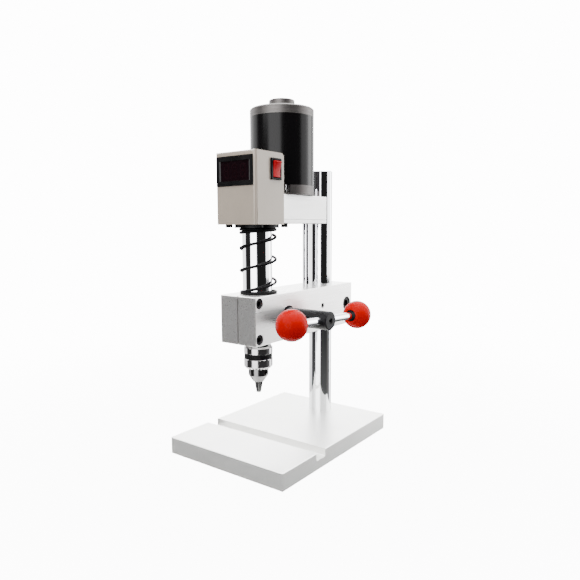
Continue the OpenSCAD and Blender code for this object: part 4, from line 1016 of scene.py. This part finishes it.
# Screens and gaps round the studio, which the polished metal mirrors: the bearing of each one's two edges,
# in degrees to the right of the camera's side, and its brightness at each edge
SCREENS = {
    "rear left screen": ((-180, 1.0), (-168, 1.0)),
    "left wall": ((-160, 0.40), (-102, 0.40)),
    "left gap": ((-95, 0.003), (-51, 0.003)),
    "front left screen": ((-45, 1.0), (-6, 1.0)),
    "front gap": ((0, 0.002), (68, 0.002)),
    "right gap": ((80, 0.02), (101, 0.03)),
    "right screen": ((116, 1.0), (125, 1.0)),
    "rear right wall": ((131, 0.25), (158, 0.3)),
    "rear right screen": ((168, 1.0), (180, 1.0)),
}
SCREEN_GLARE = 9.0
ROOM_LIGHT = 2.9
BACKDROP_GLOW = 14.0
# Upward part of a direction where the ceiling begins and is full, and where the dark below does
CEILING = (0.40, 0.75)
CELLAR = (-0.10, -0.45)
WHITE = (1.0, 1.0, 1.0, 1.0)
CELLAR_GREY = (0.02, 0.02, 0.02, 1.0)

FLOOR_RADIUS = 2.4
FLOOR_GREY = (0.92, 0.92, 0.92, 1.0)
# How far out the floor starts to fade and is gone, and how clear it is at its middle
FLOOR_FADE = (0.12, 0.75)
FLOOR_CLEAR = 0.80


def fill_ramp(ramp):
    """Sets a colour ramp's stops to the screens' edges."""
    stops = ramp.elements
    while len(stops) > 1:
        stops.remove(stops[-1])
    edges = [edge for screen in SCREENS.values() for edge in screen]
    for i, (degrees, level) in enumerate(edges):
        position = (degrees + 180) / 360
        stop = stops[0] if i == 0 else stops.new(position)
        stop.position = position
        stop.color = (level, level, level, 1.0)


def studio_world():
    """White screens with dark gaps between them all round, a bright ceiling, and a pale backdrop."""
    world = bpy.data.worlds.new("studio")
    world.use_nodes = True
    nodes = Tree(world.node_tree)
    shader = world.node_tree.nodes["Background"]
    direction = nodes.add("ShaderNodeTexCoord").outputs["Generated"]
    right = (math.cos(CAMERA_YAW), math.sin(CAMERA_YAW), 0)
    towards = (math.sin(CAMERA_YAW), -math.cos(CAMERA_YAW), 0)
    across = nodes.vector("DOT_PRODUCT", direction, right).outputs["Value"]
    ahead = nodes.vector("DOT_PRODUCT", direction, towards).outputs["Value"]
    bearing = nodes.calc("ARCTAN2", across, ahead)
    share = nodes.remap(bearing, 0.0, 1.0, -math.pi, math.pi)
    ramp = nodes.add("ShaderNodeValToRGB", None, {"Fac": share})
    fill_ramp(ramp.color_ramp)
    height = nodes.add("ShaderNodeSeparateXYZ", None, {0: direction}).outputs["Z"]
    ceiling = nodes.remap(height, 0.0, 1.0, *CEILING, smooth=True)
    room = nodes.mix(ceiling, ramp.outputs["Color"], WHITE)
    below = nodes.remap(height, 0.0, 1.0, *CELLAR, smooth=True)
    nodes.plug(nodes.mix(below, room, CELLAR_GREY), shader.inputs["Color"])
    path = nodes.add("ShaderNodeLightPath").outputs
    strength = nodes.remap(path["Is Glossy Ray"], ROOM_LIGHT, SCREEN_GLARE, 0.0, 1.0)
    nodes.plug(strength, shader.inputs["Strength"])
    backdrop = nodes.add("ShaderNodeBackground", None, {"Color": WHITE, "Strength": BACKDROP_GLOW})
    mixed = nodes.add("ShaderNodeMixShader", None, {0: path["Is Camera Ray"], 1: shader, 2: backdrop})
    nodes.plug(mixed, world.node_tree.nodes["World Output"].inputs["Surface"])
    return world


def fading_matte():
    """A matte white that turns clear away from the middle."""
    material = bpy.data.materials.new("floor_matte")
    material.use_nodes = True
    nodes = Tree(material.node_tree)
    shader = material.node_tree.nodes["Principled BSDF"]
    shader.inputs["Roughness"].default_value = 0.9
    shader.inputs["Base Color"].default_value = FLOOR_GREY
    shader.inputs["Specular IOR Level"].default_value = 0.0
    place = nodes.add("ShaderNodeTexCoord").outputs["Object"]
    reach = nodes.vector("LENGTH", place).outputs["Value"]
    fade = nodes.remap(reach, FLOOR_CLEAR, 1.0, *FLOOR_FADE, smooth=True)
    clear = nodes.add("ShaderNodeBsdfTransparent")
    mixed = nodes.add("ShaderNodeMixShader", None, {0: fade, 1: shader, 2: clear})
    nodes.plug(mixed, material.node_tree.nodes["Material Output"].inputs["Surface"])
    return material


def pale_floor():
    """A matte floor that fades into the backdrop away from the object."""
    bm = bmesh.new()
    bmesh.ops.create_circle(bm, cap_ends=True, segments=128, radius=FLOOR_RADIUS)
    mesh = plain_mesh("floor", bm)
    mesh.materials.append(fading_matte())
    floor = bpy.data.objects.new("floor", mesh)
    bpy.context.scene.collection.objects.link(floor)
    floor.visible_glossy = False


def studio_camera():
    """The camera, at the photograph's viewing angle."""
    data = bpy.data.cameras.new("camera")
    data.lens = CAMERA_LENS
    data.sensor_width = CAMERA_SENSOR
    data.shift_y = CAMERA_SHIFT
    data.clip_start = 0.01
    camera = bpy.data.objects.new("camera", data)
    camera.location = CAMERA_PLACE
    camera.rotation_euler = (math.pi / 2 - CAMERA_PITCH, CAMERA_ROLL, CAMERA_YAW)
    bpy.context.scene.collection.objects.link(camera)
    return camera


def soft_light(name, place, aim, size, power):
    """A square lamp that faces a point."""
    lamp = bpy.data.lights.new(name, "AREA")
    lamp.shape = "SQUARE"
    lamp.size = size
    lamp.energy = power
    light = bpy.data.objects.new(name, lamp)
    light.location = place
    light.rotation_euler = (Vector(aim) - Vector(place)).to_track_quat("-Z", "Y").to_euler()
    bpy.context.scene.collection.objects.link(light)


class AddStage(bpy.types.Operator):
    """Sets the camera, the pale floor and the soft studio light"""

    bl_idname = "bench_drill.add_stage"
    bl_label = "Add Stage"

    def execute(self, context):
        context.scene.camera = studio_camera()
        context.scene.world = studio_world()
        pale_floor()
        soft_light("ceiling_light", place=(0.0, 0.2, 1.2), aim=(0, 0, 0.1), size=0.9, power=12.0)
        soft_light("right_light", place=(0.95, 0.75, 0.5), aim=(0.02, 0.05, 0.2), size=0.9, power=11.0)
        soft_light("front_light", place=(-0.35, -0.95, 0.75), aim=(0, -0.05, 0.2), size=0.45, power=4.0)
        return {"FINISHED"}


# Panel and registration

STEPS = [
    "add_stage",
    "finish_frame",
    "add_spring",
    "add_screws",
    "add_sleeve",
    "add_box",
    "add_meter",
    "add_rocker",
]


class DrillPanel(bpy.types.Panel):
    """Lists the drill's colours, sizes and steps"""

    bl_idname = "VIEW3D_PT_bench_drill"
    bl_label = "Mini Bench Drill"
    bl_space_type = "VIEW_3D"
    bl_region_type = "UI"
    bl_category = "Bench Drill"

    def draw(self, context):
        for settings in (context.scene.drill_colours, context.scene.drill_sizes):
            column = self.layout.column()
            for key in settings.__annotations__:
                column.prop(settings, key)
        for step in STEPS:
            self.layout.operator("bench_drill." + step)


CLASSES = (
    DrillColours,
    DrillSizes,
    AddStage,
    FinishFrame,
    AddSpring,
    AddScrews,
    AddSleeve,
    AddBox,
    AddMeter,
    AddRocker,
    DrillPanel,
)


def register():
    for cls in CLASSES:
        bpy.utils.register_class(cls)
    bpy.types.Scene.drill_colours = PointerProperty(type=DrillColours)
    bpy.types.Scene.drill_sizes = PointerProperty(type=DrillSizes)


def unregister():
    del bpy.types.Scene.drill_colours
    del bpy.types.Scene.drill_sizes
    for cls in reversed(CLASSES):
        bpy.utils.unregister_class(cls)


def main():
    register()
    for step in STEPS:
        getattr(bpy.ops.bench_drill, step)()


if __name__ == "__main__":
    main()
